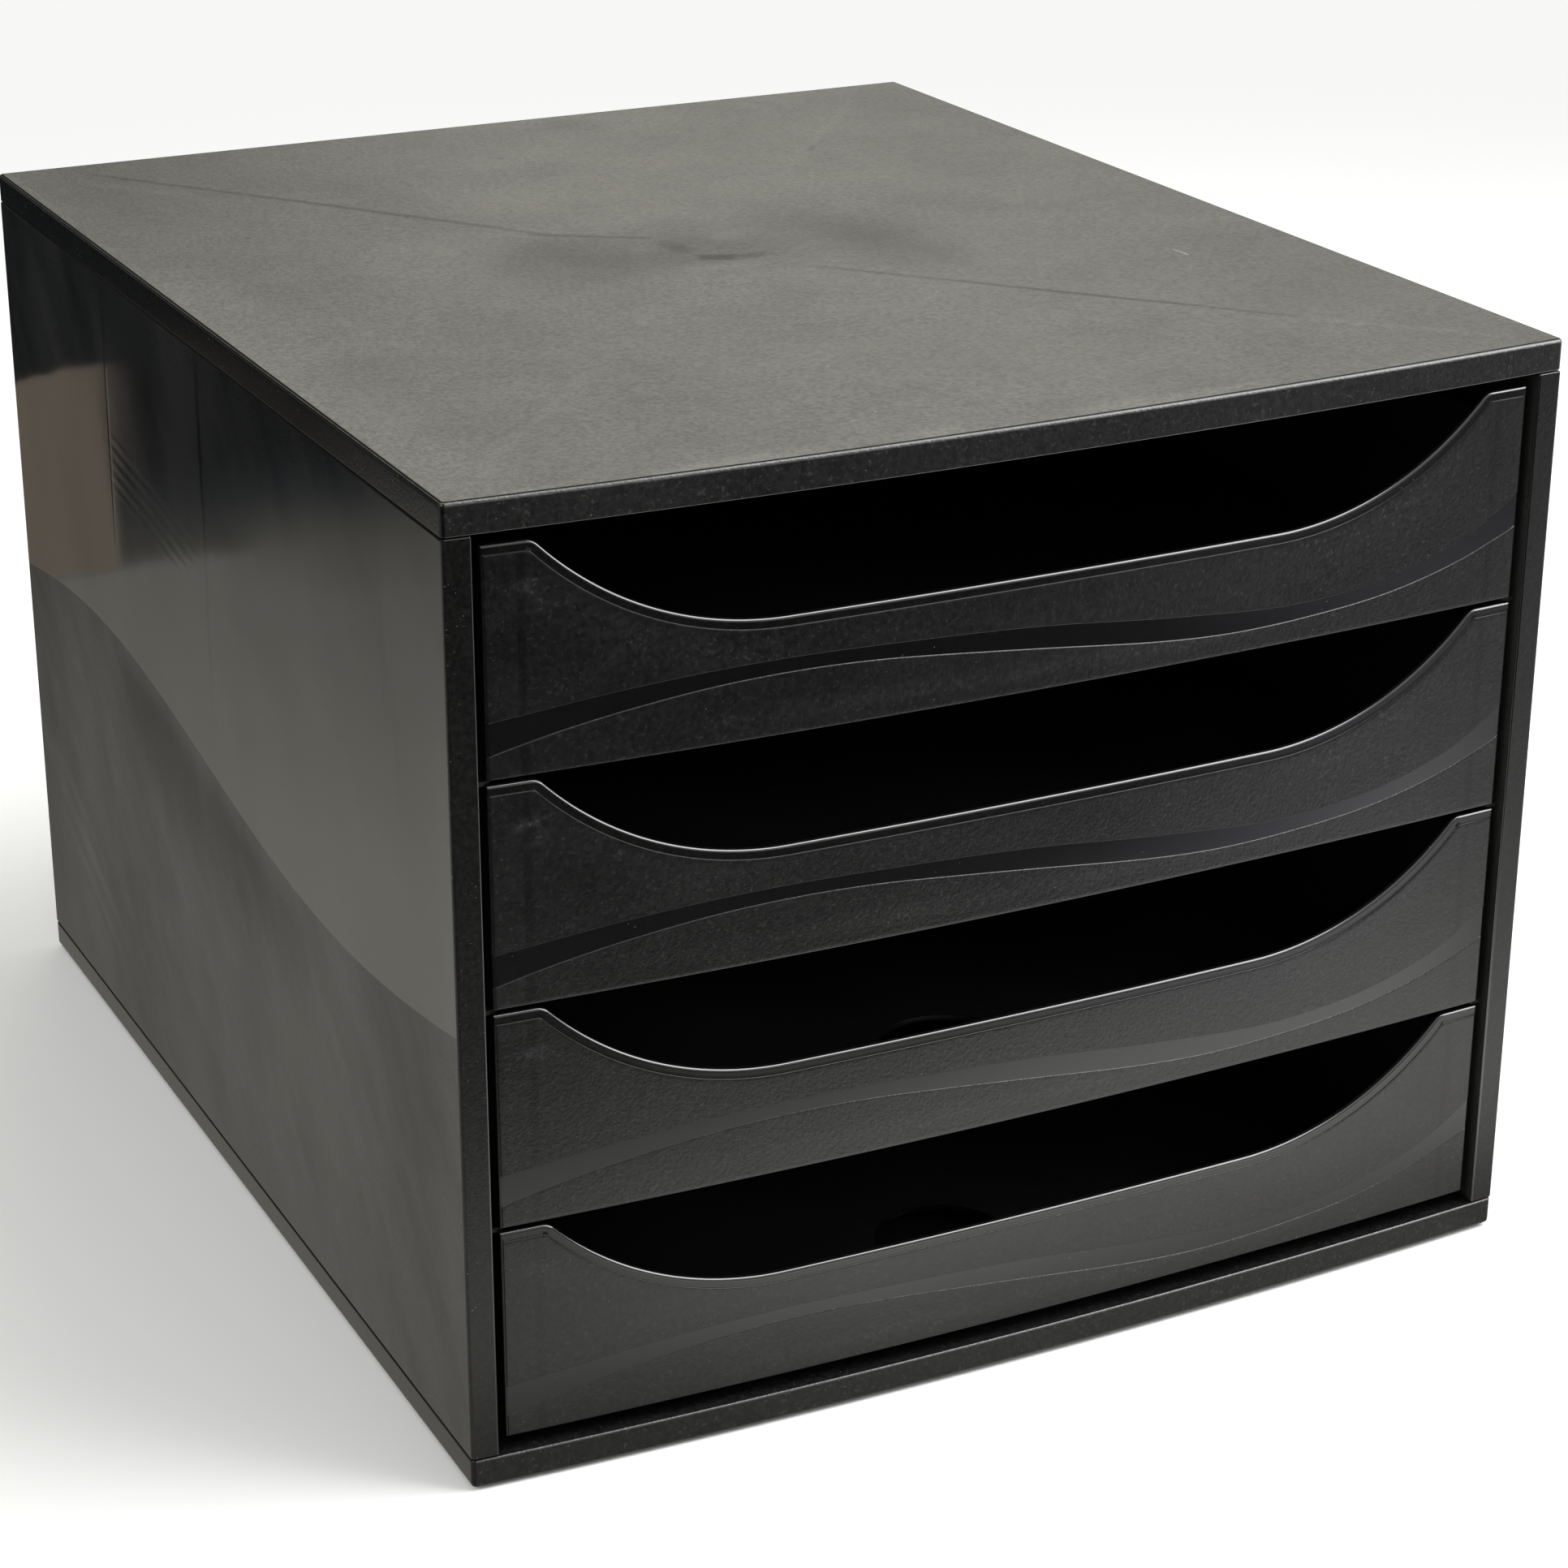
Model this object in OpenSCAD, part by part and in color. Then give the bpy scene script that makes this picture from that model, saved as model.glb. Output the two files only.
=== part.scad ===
// Desktop drawer unit for A4 paper: a box of moulded plastic panels
// with open-fronted drawers of equal height that slide on side ledges.
// Millimetres, +Z up. The origin is the middle of the underside, at the
// bottom of the feet. The fronts face -Y.

/* [Housing] */
// overall width of the housing
housing_w = 284; // [270:1:310]
// overall depth, from the back to the middle of the bowed front
housing_d = 338; // [320:1:360]
// how far the front bows out in plan between its corners
front_bow = 5; // [2:0.5:8]
// overall height including the feet
housing_h = 237; // [230:1:250]
// height of the edge of the top cover
cover_h = 7.8; // [6:0.1:12]
// height of the edge of the base
base_h = 7.4; // [6:0.1:12]
// wall of the top cover and the base
cover_wall = 2; // [1.6:0.1:3]
// thickness of the flat plate of the top cover and the base
plate_t = 2.2; // [1.6:0.1:3]
// rounding along the top edge of the cover
cover_round = 1.5; // [0.5:0.1:2]
// rounding along the bottom edge of the base
base_round = 1.2; // [0.5:0.1:2]

/* [Side panels] */
// outer skin of a side panel
skin_t = 2.5; // [1.8:0.1:3]
// width of the strip beside the drawer fronts
strip_w = 6.6; // [5:0.1:10]
// thickness of that strip behind its face
strip_t = 3; // [2:0.1:5]
// depth of the front pillar behind the strip, where the drawers stop
pillar_y = -152; // [-156:1:-140]
// how far a ledge stands in from the outside
ledge_reach = 11.6; // [10:0.1:14]
// thickness of a ledge
ledge_t = 1.2; // [1:0.1:2]
// height of the guide that stands on a ledge
guide_h = 4; // [2:0.5:6]

/* [Drawers] */
// width of a drawer front
front_w = 266; // [250:1:290]
// height of a drawer front
front_h = 52.6; // [40:0.1:60]
// distance from one drawer front to the next
pitch = 53.9; // [42:0.1:62]
// bottom edge of the lowest drawer front above the table
first_z = 12; // [10:0.1:16]
// how far the fronts sit behind the front of the housing
front_inset = 1.4; // [0.5:0.1:3]
// thickness of a drawer front
front_t = 1.9; // [1.5:0.1:3]
// width of the smooth band along the top edge of a front
band_w = 2.1; // [1.5:0.1:3]
// step from the smooth band up to the face
band_step = 0.3; // [0.1:0.1:0.6]
// thickness of the drawer walls and floor
wall_t = 1.8; // [1.4:0.1:2.5]
// height of the drawer side and rear walls above the front's bottom edge
wall_h = 43; // [30:0.5:48]
// back of the drawer
drawer_back = 158; // [150:1:160]

/* [Scoop in the front] */
// height of the low middle part of a front
scoop_z = 27.3; // [20:0.1:40]
// half width of the straight part of the scoop
scoop_half = 63; // [40:1:80]
// radius of the rising ends of the scoop
scoop_r = 80; // [60:1:100]
// rounding where the scoop meets the top edge
scoop_tip_r = 4; // [3:0.1:6]
// diameter of the push-out hole in the drawer floor
hole_d = 34; // [20:1:40]

/* [Feet] */
// diameter of a rubber foot
foot_d = 12; // [8:1:16]
// how far a foot holds the base off the table
foot_gap = 0.8; // [0.5:0.1:2]

/* [Hidden] */
$fn = 96;
W2 = housing_w / 2;
D2 = housing_d / 2;
bow_r = (W2 * W2 + front_bow * front_bow) / (2 * front_bow);
bow_y = bow_r - D2;
base_z = foot_gap;
base_top = base_z + base_h;
cover_z = housing_h - cover_h;
skin_x = W2 - skin_t;
strip_x = W2 - strip_w;
ledge_x = W2 - ledge_reach;
guide_x = ledge_x + 2.7;
panel_h = cover_z - base_top;
back_x = W2 - 4.2;
foot_x = 120;
foot_y = [-138, 146];
tab_y = [-120, 0, 130];
rib_x = [-90, -45, 0, 45, 90];
e = 0.01;

// everything behind the bowed front, moved back by inset
module bow(inset, z0, z1) {
    translate([0, bow_y, z0]) cylinder(r = bow_r - inset, h = z1 - z0, $fn = 720);
}

// a block with the bowed front, x from -hx to hx, back at y1
module bowed(hx, inset, y1, z0, z1) {
    intersection() {
        bow(inset, z0, z1);
        translate([-hx, -D2 - 5, z0]) cube([2 * hx, y1 + D2 + 5, z1 - z0]);
    }
}

// section h tall whose far top corner is rounded
module round_corner(l, h, r) {
    square([l - r, h]);
    square([l, h - r]);
    translate([l - r, h - r]) circle(r = r);
}

// full-size block, its top edge rounded all round
module edge_block(h, r) {
    intersection() {
        translate([0, bow_y, 0]) rotate_extrude($fn = 720) round_corner(bow_r, h, r);
        translate([0, D2 + 5, 0]) rotate([90, 0, 0]) linear_extrude(housing_d + 20) {
            round_corner(W2, h, r);
            mirror([1, 0]) round_corner(W2, h, r);
        }
        translate([-W2 - 5, 0, 0]) rotate([90, 0, 90]) linear_extrude(housing_w + 10) {
            round_corner(D2, h, r);
            translate([-D2 - 5, 0]) square([D2 + 6, h]);
        }
    }
}

module top_cover() {
    color([0.13, 0.13, 0.125]) union() {
        difference() {
            translate([0, 0, cover_z]) edge_block(cover_h, cover_round);
            bowed(W2 - cover_wall, cover_wall, D2 - cover_wall, cover_z - 1, housing_h - plate_t);
        }
        // pocket walls that hold the tongues of the side panels
        for (s = [-1, 1])
            translate([s * (W2 - 6) - 0.8, -150, cover_z + 1]) cube([1.6, 310, cover_h - plate_t - 1 + e]);
        // stiffening ribs under the plate
        for (y = [-100, -50, 0, 50, 100])
            translate([-W2 + 6.5, y - 0.7, housing_h - plate_t - 3]) cube([housing_w - 13, 1.4, 3 + e]);
        for (x = [-70, 0, 70])
            translate([x - 0.7, -155, housing_h - plate_t - 3]) cube([1.4, 315, 3 + e]);
    }
}

module base() {
    color([0.11, 0.11, 0.11]) difference() {
        union() {
            difference() {
                translate([0, 0, base_top]) mirror([0, 0, 1]) edge_block(base_h, base_round);
                bowed(W2 - cover_wall, cover_wall, D2 - cover_wall, base_z - 1, base_top - plate_t);
            }
            // bosses for the feet
            for (s = [-1, 1], y = foot_y)
                translate([s * foot_x, y, base_z]) cylinder(d = foot_d + 4, h = base_h - 1);
            // stiffening ribs under the plate
            for (y = [-110, -55, 0, 55, 110])
                translate([-W2 + 1.5, y - 0.7, base_top - plate_t - 3]) cube([housing_w - 3, 1.4, 3 + e]);
            for (x = [-70, 0, 70])
                translate([x - 0.7, -160, base_top - plate_t - 3]) cube([1.4, 328, 3 + e]);
            // rails that carry the lowest drawer, each with its guide
            for (s = [-1, 1]) mirror([s < 0 ? 1 : 0, 0, 0]) {
                translate([ledge_x, -140, base_top - e]) cube([2.6, 300, first_z - 0.9 - base_top + e]);
                translate([guide_x - 0.2, -140, base_top - e]) cube([1.7, 300, first_z - 0.9 + guide_h - base_top + e]);
            }
        }
        // seats of the feet
        for (s = [-1, 1], y = foot_y)
            translate([s * foot_x, y, base_z - 1]) cylinder(d = foot_d + 0.3, h = 2.2);
        // slots for the tabs of the side panels
        for (s = [-1, 1], y = tab_y)
            translate([s * (W2 - 4) - 1.4, y - 12, base_z + 1]) cube([2.8, 24, base_h]);
    }
}

module side_panel() {
    difference() {
        union() {
            // outer skin
            intersection() {
                bow(0, base_top, cover_z);
                translate([skin_x, -D2, base_top]) cube([skin_t, housing_d, panel_h]);
            }
            // strip beside the drawer fronts and its return
            intersection() {
                bow(0, base_top, cover_z);
                translate([strip_x, -D2, base_top]) cube([strip_w - skin_t + e, pillar_y + D2, panel_h]);
            }
            // rear channel for the back panel
            translate([W2 - 7.6, D2 - 6.2, base_top]) cube([7.6 - skin_t + e, 6.2, panel_h]);
            // rails along the top and bottom edges
            translate([W2 - 5, pillar_y - e, cover_z - 5]) cube([5 - skin_t + e, D2 - 6.2 - pillar_y + 2 * e, 5]);
            translate([W2 - 5, pillar_y - e, base_top]) cube([5 - skin_t + e, D2 - 6.2 - pillar_y + 2 * e, 2.5]);
            // ledges
            for (k = [1 : 3]) translate([0, 0, first_z + k * pitch - 0.9 - ledge_t]) {
                linear_extrude(ledge_t) {
                    translate([ledge_x + 3, -160.8]) square([skin_x - ledge_x - 3 + e, 160.8 + 160]);
                    translate([ledge_x, -157.8]) square([skin_x - ledge_x + e, 157.8 + 160]);
                    translate([ledge_x + 3, -157.8]) circle(r = 3);
                }
                translate([guide_x, -145, ledge_t - e]) cube([1.5, 305, guide_h + e]);
            }
            // tongues up into the cover and tabs down into the base
            for (y = tab_y) {
                translate([W2 - 4.8, y - 12, cover_z - e]) cube([2, 24, 4.5]);
                translate([W2 - 5.1, y - 11.7, base_top - 4]) cube([2.2, 23.4, 4 + e]);
            }
        }
        // hollow behind the strip
        intersection() {
            bow(strip_t, base_top + 12, cover_z - 12);
            translate([strip_x + 1.8, -D2, base_top + 12]) cube([skin_x - strip_x - 1.8, pillar_y + D2 + 1, panel_h - 24]);
        }
        // slot of the rear channel
        translate([W2 - 9, D2 - 4, base_top - 1]) cube([5, 2.6, panel_h + 2]);
    }
}

module side_panel_right() {
    color([0.12, 0.12, 0.115]) side_panel();
}

module side_panel_left() {
    color([0.12, 0.12, 0.115]) mirror([1, 0, 0]) side_panel();
}

module back_panel() {
    color([0.11, 0.11, 0.11]) union() {
        translate([-back_x, D2 - 3.8, base_top]) cube([2 * back_x, 2.2, panel_h]);
        for (x = rib_x)
            translate([x - 0.7, D2 - 5.6, base_top + 4]) cube([1.4, 1.8 + e, panel_h - 8]);
    }
}

module foot(sx, y) {
    color([0.05, 0.05, 0.05]) translate([sx * foot_x, y, 0]) {
        cylinder(d = foot_d - 0.8, h = 0.4 + e);
        translate([0, 0, 0.4]) cylinder(d = foot_d, h = 1.6);
    }
}

module foot_front_left() { foot(-1, foot_y[0]); }
module foot_front_right() { foot(1, foot_y[0]); }
module foot_back_left() { foot(-1, foot_y[1]); }
module foot_back_right() { foot(1, foot_y[1]); }

// points along a round from angle a0 to a1
function arc(cx, cy, r, a0, a1, n) =
    [for (i = [0 : n]) let (a = a0 + (a1 - a0) * i / n) [cx + r * cos(a), cy + r * sin(a)]];

// right half of the scoop's edge, from its straight part up to the tip;
// g grows it so that it also gives the smooth band along the edge
function scoop_edge(g) = let (
    cz = scoop_z + scoop_r,
    tz = front_h - scoop_tip_r,
    reach = scoop_r + scoop_tip_r,
    tx = scoop_half + sqrt(reach * reach - (cz - tz) * (cz - tz)),
    a = atan2(cz - tz, tx - scoop_half))
    concat(arc(scoop_half, cz, scoop_r + g, -90, -a, 20), arc(tx, tz, scoop_tip_r - g, 180 - a, 90, 5));

// cuts the scoop from the top of a front
module scoop(g) {
    p = scoop_edge(g);
    n = len(p);
    rotate([90, 0, 0]) linear_extrude(D2 + 5) polygon(concat(
        p,
        [[p[n - 1][0], front_h + 3], [-p[n - 1][0], front_h + 3]],
        [for (i = [n - 1 : -1 : 0]) [-p[i][0], p[i][1]]]));
}

module drawer_front() {
    // body of the front
    difference() {
        intersection() {
            difference() {
                bow(front_inset + band_step, 0, front_h);
                bow(front_inset + front_t, -1, front_h + 1);
            }
            translate([-front_w / 2, -D2, 0]) cube([front_w, 20, front_h]);
        }
        scoop(0);
    }
    // face that stands out below the smooth band
    difference() {
        intersection() {
            difference() {
                bow(front_inset, 0, front_h - band_w);
                bow(front_inset + front_t - 0.5, -1, front_h + 1);
            }
            translate([-front_w / 2 + 0.5, -D2, 0]) cube([front_w - 1, 20, front_h - band_w]);
        }
        scoop(band_w);
    }
}

module drawer(k) {
    floor_z = -0.6;
    hx = front_w / 2 - 0.4;
    color([0.1, 0.1, 0.1]) translate([0, 0, first_z + k * pitch]) {
        difference() {
            union() {
                drawer_front();
                // floor
                bowed(hx, front_inset + front_t - 0.4, drawer_back, floor_z, floor_z + wall_t);
                // side walls
                for (s = [-1, 1]) intersection() {
                    bow(front_inset + front_t - 0.4, floor_z, wall_h);
                    translate([s * (hx - wall_t / 2) - wall_t / 2, -D2, floor_z]) cube([wall_t, drawer_back + D2, wall_h - floor_z]);
                }
                // rear wall
                translate([-hx, drawer_back - wall_t, floor_z]) cube([2 * hx, wall_t, wall_h - floor_z]);
                // lugs that stop the drawer behind the pillars
                for (s = [-1, 1])
                    translate([s * (hx + 2) - 2.2, 98.5, 8]) cube([4.4, 10, 12]);
            }
            // push-out hole near the front
            translate([0, -128, floor_z - 1]) cylinder(d = hole_d, h = wall_t + 2);
            // low finger notch in the rear wall
            translate([0, drawer_back + 1, wall_h + 10]) rotate([90, 0, 0]) cylinder(r = 22, h = wall_t + 4);
        }
    }
}

module drawer_4() { drawer(0); }
module drawer_3() { drawer(1); }
module drawer_2() { drawer(2); }
module drawer_1() { drawer(3); }

top_cover();
base();
side_panel_left();
side_panel_right();
back_panel();
foot_front_left();
foot_front_right();
foot_back_left();
foot_back_right();
drawer_1();
drawer_2();
drawer_3();
drawer_4();
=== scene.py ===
import math

import bmesh
import bpy
from mathutils import Matrix, Vector


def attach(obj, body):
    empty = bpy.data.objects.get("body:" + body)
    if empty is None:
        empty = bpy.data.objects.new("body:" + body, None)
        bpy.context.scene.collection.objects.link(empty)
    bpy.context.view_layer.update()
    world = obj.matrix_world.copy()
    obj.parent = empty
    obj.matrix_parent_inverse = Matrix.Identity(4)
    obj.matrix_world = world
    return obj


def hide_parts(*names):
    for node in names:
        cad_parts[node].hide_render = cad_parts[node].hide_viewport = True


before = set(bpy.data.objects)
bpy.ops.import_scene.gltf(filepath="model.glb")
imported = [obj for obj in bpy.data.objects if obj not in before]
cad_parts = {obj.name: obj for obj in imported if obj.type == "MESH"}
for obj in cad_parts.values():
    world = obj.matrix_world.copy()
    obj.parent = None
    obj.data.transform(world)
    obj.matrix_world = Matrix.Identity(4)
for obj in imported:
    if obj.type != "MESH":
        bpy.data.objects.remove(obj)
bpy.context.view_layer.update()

MM = 0.001

# ---------------------------------------------------------------- sizes, mm
W2, D2, BOW = 142.0, 169.0, 5.0
R = (W2 * W2 + BOW * BOW) / (2 * BOW)      # radius of the bowed front in plan
YC = R - D2                                # its centre
BASE_Z, BASE_TOP, COVER_Z, TOP_Z = 0.8, 8.2, 229.2, 237.0
FIRST_Z, PITCH, FRONT_H = 12.0, 53.9, 52.6
SCOOP_Z, SCOOP_X, SCOOP_R, TIP_R = 27.3, 63.0, 80.0, 4.0


def front_y(x, inset=0.0):
    return YC - math.sqrt((R - inset) ** 2 - x * x)


# ------------------------------------------------------------ mesh building
class Solid:
    """Vertices in mm, faces, and a material number for each face."""

    def __init__(self):
        self.v, self.f, self.m = [], [], []

    def add(self, pts):
        i = len(self.v)
        self.v.extend(pts)
        return list(range(i, i + len(pts)))

    def face(self, loop, m=0):
        self.f.append(tuple(loop))
        self.m.append(m)

    def band(self, a, b, m=0, closed=True):
        n = len(a)
        for i in range(n if closed else n - 1):
            j = (i + 1) % n
            mm = m(i) if callable(m) else m
            self.face((a[i], a[j], b[j], b[i]), mm)

    def loft(self, loops, m=0, cap_m=None):
        ids = [self.add(l) for l in loops]
        for k in range(len(ids) - 1):
            mk = m[k] if isinstance(m, (list, tuple)) else m
            self.band(ids[k], ids[k + 1], mk)
        c = m if cap_m is None else cap_m
        c = c if isinstance(c, (list, tuple)) else (c, c)
        self.face(list(reversed(ids[0])), c[0])
        self.face(ids[-1], c[1])
        return ids

    def box(self, x0, x1, y0, y1, z0, z1, r=0.3, seg=2, m=0):
        """a box whose edges are rounded by r"""
        bm = bmesh.new()
        bmesh.ops.create_cube(bm, size=1.0)
        for v in bm.verts:
            v.co.x = x0 if v.co.x < 0 else x1
            v.co.y = y0 if v.co.y < 0 else y1
            v.co.z = z0 if v.co.z < 0 else z1
        r = min(r, 0.45 * min(x1 - x0, y1 - y0, z1 - z0))
        bmesh.ops.bevel(bm, geom=bm.edges[:], offset=r, segments=seg, profile=0.5, affect="EDGES")
        bm.verts.index_update()
        base = len(self.v)
        self.v.extend([tuple(v.co) for v in bm.verts])
        for f in bm.faces:
            self.face([base + v.index for v in f.verts], m)
        bm.free()

    def lathe(self, cx, cy, prof, n=48, m=0):
        """prof is (radius, z) from the bottom up; closed with caps"""
        self.loft([[(cx + r * math.cos(2 * math.pi * i / n), cy + r * math.sin(2 * math.pi * i / n), z)
                    for i in range(n)] for r, z in prof], m)

    def mesh(self, name, sharp=34.0):
        me = bpy.data.meshes.new(name)
        me.from_pydata([(x * MM, y * MM, z * MM) for x, y, z in self.v], [], self.f)
        me.polygons.foreach_set("material_index", self.m)
        bm = bmesh.new()
        bm.from_mesh(me)
        bmesh.ops.recalc_face_normals(bm, faces=bm.faces[:])
        mark(bm, sharp)
        bm.to_mesh(me)
        bm.free()
        me.update()
        return me


def mark(bm, sharp):
    lim = math.radians(sharp)
    for f in bm.faces:
        f.smooth = True
    for e in bm.edges:
        e.smooth = not (len(e.link_faces) == 2 and e.calc_face_angle(0.0) > lim)


def put(name, me, mats, body, nodes=()):
    o = bpy.data.objects.new(name, me)
    bpy.context.scene.collection.objects.link(o)
    for m in mats:
        me.materials.append(m)
    w = o.modifiers.new("normals", "WEIGHTED_NORMAL")
    w.mode = "FACE_AREA"
    w.weight = 50
    w.keep_sharp = True
    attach(o, body)
    if nodes:
        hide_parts(*nodes)
    return o


def cut(a, cutters):
    """mesh a minus the cutter meshes"""
    oa = bpy.data.objects.new("work", a)
    bpy.context.scene.collection.objects.link(oa)
    tmp = []
    for c in cutters:
        oc = bpy.data.objects.new("cutter", c)
        bpy.context.scene.collection.objects.link(oc)
        m = oa.modifiers.new("cut", "BOOLEAN")
        m.operation, m.solver, m.object = "DIFFERENCE", "EXACT", oc
        tmp.append(oc)
    bpy.context.view_layer.update()
    dg = bpy.context.evaluated_depsgraph_get()
    out = bpy.data.meshes.new_from_object(oa.evaluated_get(dg))
    for o in [oa] + tmp:
        bpy.data.objects.remove(o)
    return out


def plan(hx, yb, fi, rf, rb, nf=64, ns=30, nb=16, nc=6):
    """outline in plan, ccw: bowed front at inset fi, sides at +-hx, back at yb, corner radii rf and rb"""
    cx = hx - rf
    cy = YC - math.sqrt((R - fi - rf) ** 2 - cx * cx)
    ae = math.atan2(cx, YC - cy)
    half = []
    for i in range(nf // 2 + 1):
        a = ae * i / (nf // 2)
        half.append(((R - fi) * math.sin(a), YC - (R - fi) * math.cos(a)))
    for j in range(1, nc + 1):
        t = (-math.pi / 2 + ae) * (1 - j / nc)
        half.append((cx + rf * math.cos(t), cy + rf * math.sin(t)))
    for i in range(1, ns + 1):
        half.append((hx, cy + (yb - rb - cy) * i / ns))
    for j in range(1, nc + 1):
        t = math.pi / 2 * j / nc
        half.append((hx - rb + rb * math.cos(t), yb - rb + rb * math.sin(t)))
    for i in range(1, nb // 2 + 1):
        half.append(((hx - rb) * (1 - i / (nb // 2)), yb))
    left = [(-x, y) for x, y in reversed(half[1:-1])]
    return half + left


def at(loop, z):
    return [(x, y, z) for x, y in loop]


def arc_pts(n, a0, a1):
    return [(math.cos(math.radians(a0 + (a1 - a0) * i / n)), math.sin(math.radians(a0 + (a1 - a0) * i / n))) for i in range(n + 1)]


def curve_at(pts, x):
    """smooth curve through control points"""
    if x <= pts[0][0]:
        return pts[0][1] + (x - pts[0][0]) * (pts[1][1] - pts[0][1]) / (pts[1][0] - pts[0][0])
    if x >= pts[-1][0]:
        return pts[-1][1] + (x - pts[-1][0]) * (pts[-1][1] - pts[-2][1]) / (pts[-1][0] - pts[-2][0])
    k = max(i for i in range(len(pts) - 1) if pts[i][0] <= x)

    def slope(i):
        a, b = pts[max(i - 1, 0)], pts[min(i + 1, len(pts) - 1)]
        return (b[1] - a[1]) / (b[0] - a[0])
    (x0, y0), (x1, y1) = pts[k], pts[k + 1]
    h = x1 - x0
    t = (x - x0) / h
    return ((2 * t ** 3 - 3 * t * t + 1) * y0 + (t ** 3 - 2 * t * t + t) * h * slope(k)
            + (3 * t * t - 2 * t ** 3) * y1 + (t ** 3 - t * t) * h * slope(k + 1))


# upper and lower line of the glossy wave on a drawer front
WAVE_TOP = [(-133, 13), (-100, 16.3), (-67, 17.7), (-34, 17), (0, 15.2), (33, 11.8), (67, 9.3), (92, 10.9), (108, 14.4), (120, 18.7), (133, 26.4)]
WAVE_LOW = [(-133, 5.3), (-117, 8.8), (-100, 11.5), (-80, 13.6), (-60, 14.3), (-42, 13.8), (-25, 12.4), (0, 9.8), (33, 6.1), (55, 5), (83, 6.2), (100, 8.3), (117, 12.3), (133, 18)]


def side_wave(y):
    return 118.0 + 10.5 * math.cos(math.pi * ((D2 - y) - 68.0) / 188.0)


# ---------------------------------------------------------------- materials
def tree(name, spec=0.5):
    m = bpy.data.materials.new(name)
    m.use_nodes = True
    nt = m.node_tree
    nt.nodes.clear()
    out = nt.nodes.new("ShaderNodeOutputMaterial")
    bsdf = nt.nodes.new("ShaderNodeBsdfPrincipled")
    nt.links.new(bsdf.outputs[0], out.inputs[0])
    bsdf.inputs["IOR"].default_value = 1.57
    bsdf.inputs["Specular IOR Level"].default_value = spec
    return m, nt, bsdf


class Nodes:
    """short names for building a node tree"""

    def __init__(self, nt):
        self.nt = nt
        tc = nt.nodes.new("ShaderNodeTexCoord")
        self.co = tc.outputs["Object"]

    def link(self, a, b):
        if hasattr(a, "is_linked") or isinstance(a, bpy.types.NodeSocket):
            self.nt.links.new(a, b)
        else:
            b.default_value = a

    def math(self, op, a, b=0.0, clamp=False):
        n = self.nt.nodes.new("ShaderNodeMath")
        n.operation = op
        n.use_clamp = clamp
        self.link(a, n.inputs[0])
        self.link(b, n.inputs[1])
        return n.outputs[0]

    def mapping(self, scale=(1, 1, 1), loc=(0, 0, 0), rot=(0, 0, 0), vec=None):
        n = self.nt.nodes.new("ShaderNodeMapping")
        n.inputs["Scale"].default_value = scale
        n.inputs["Location"].default_value = loc
        n.inputs["Rotation"].default_value = rot
        self.link(vec or self.co, n.inputs["Vector"])
        return n.outputs[0]

    def noise(self, scale, detail=2.0, rough=0.5, vec=None, dist=0.0):
        n = self.nt.nodes.new("ShaderNodeTexNoise")
        n.inputs["Scale"].default_value = scale
        n.inputs["Detail"].default_value = detail
        n.inputs["Roughness"].default_value = rough
        n.inputs["Distortion"].default_value = dist
        self.link(vec or self.co, n.inputs["Vector"])
        return n.outputs[0]

    def voronoi(self, scale, vec=None, feature="F1", rnd=1.0):
        n = self.nt.nodes.new("ShaderNodeTexVoronoi")
        n.feature = feature
        n.inputs["Scale"].default_value = scale
        n.inputs["Randomness"].default_value = rnd
        self.link(vec or self.co, n.inputs["Vector"])
        return n.outputs["Distance"], n.outputs.get("Color")

    def ramp(self, fac, stops):
        n = self.nt.nodes.new("ShaderNodeValToRGB")
        e = n.color_ramp.elements
        while len(e) < len(stops):
            e.new(0.5)
        for k, (p, c) in enumerate(stops):
            e[k].position = p
            e[k].color = (c, c, c, 1) if not isinstance(c, tuple) else (*c, 1)
        self.link(fac, n.inputs[0])
        return n.outputs[0]

    def range(self, v, a, b, c, d, smooth=True):
        n = self.nt.nodes.new("ShaderNodeMapRange")
        n.interpolation_type = "SMOOTHSTEP" if smooth else "LINEAR"
        n.clamp = True
        self.link(v, n.inputs[0])
        for k, x in enumerate((a, b, c, d)):
            n.inputs[1 + k].default_value = x
        return n.outputs[0]

    def mix(self, fac, a, b):
        n = self.nt.nodes.new("ShaderNodeMix")
        n.data_type = "RGBA"
        self.link(fac, n.inputs["Factor"])
        for s, x in (("A", a), ("B", b)):
            i = [k for k in n.inputs if k.name == s and k.type == "RGBA"][0]
            if isinstance(x, tuple):
                i.default_value = (*x, 1)
            else:
                self.link(x, i)
        return [k for k in n.outputs if k.type == "RGBA"][0]

    def xyz(self):
        n = self.nt.nodes.new("ShaderNodeSeparateXYZ")
        self.link(self.co, n.inputs[0])
        return n.outputs

    def bump(self, height, strength, distance, normal=None):
        n = self.nt.nodes.new("ShaderNodeBump")
        n.inputs["Strength"].default_value = strength
        n.inputs["Distance"].default_value = distance
        self.link(height, n.inputs["Height"])
        if normal is not None:
            self.link(normal, n.inputs["Normal"])
        return n.outputs[0]


def specks(N, scale, share, size, shift=0.0):
    """0..1 mask of scattered small round specks"""
    vec = N.mapping(loc=(shift, shift * 0.7, shift * 1.3)) if shift else None
    d, c = N.voronoi(scale, vec)
    sep = N.nt.nodes.new("ShaderNodeSeparateColor")
    N.link(c, sep.inputs[0])
    on = N.math("LESS_THAN", sep.outputs[0], share)
    # every speck has its own size
    r = N.math("MULTIPLY_ADD", sep.outputs[1], size)
    r.node.inputs[2].default_value = size * 0.45
    dot = N.math("SUBTRACT", 1.0, N.math("DIVIDE", d, r), clamp=True)
    return N.math("MULTIPLY", on, N.range(dot, 0.0, 0.5, 0.0, 1.0))


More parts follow.
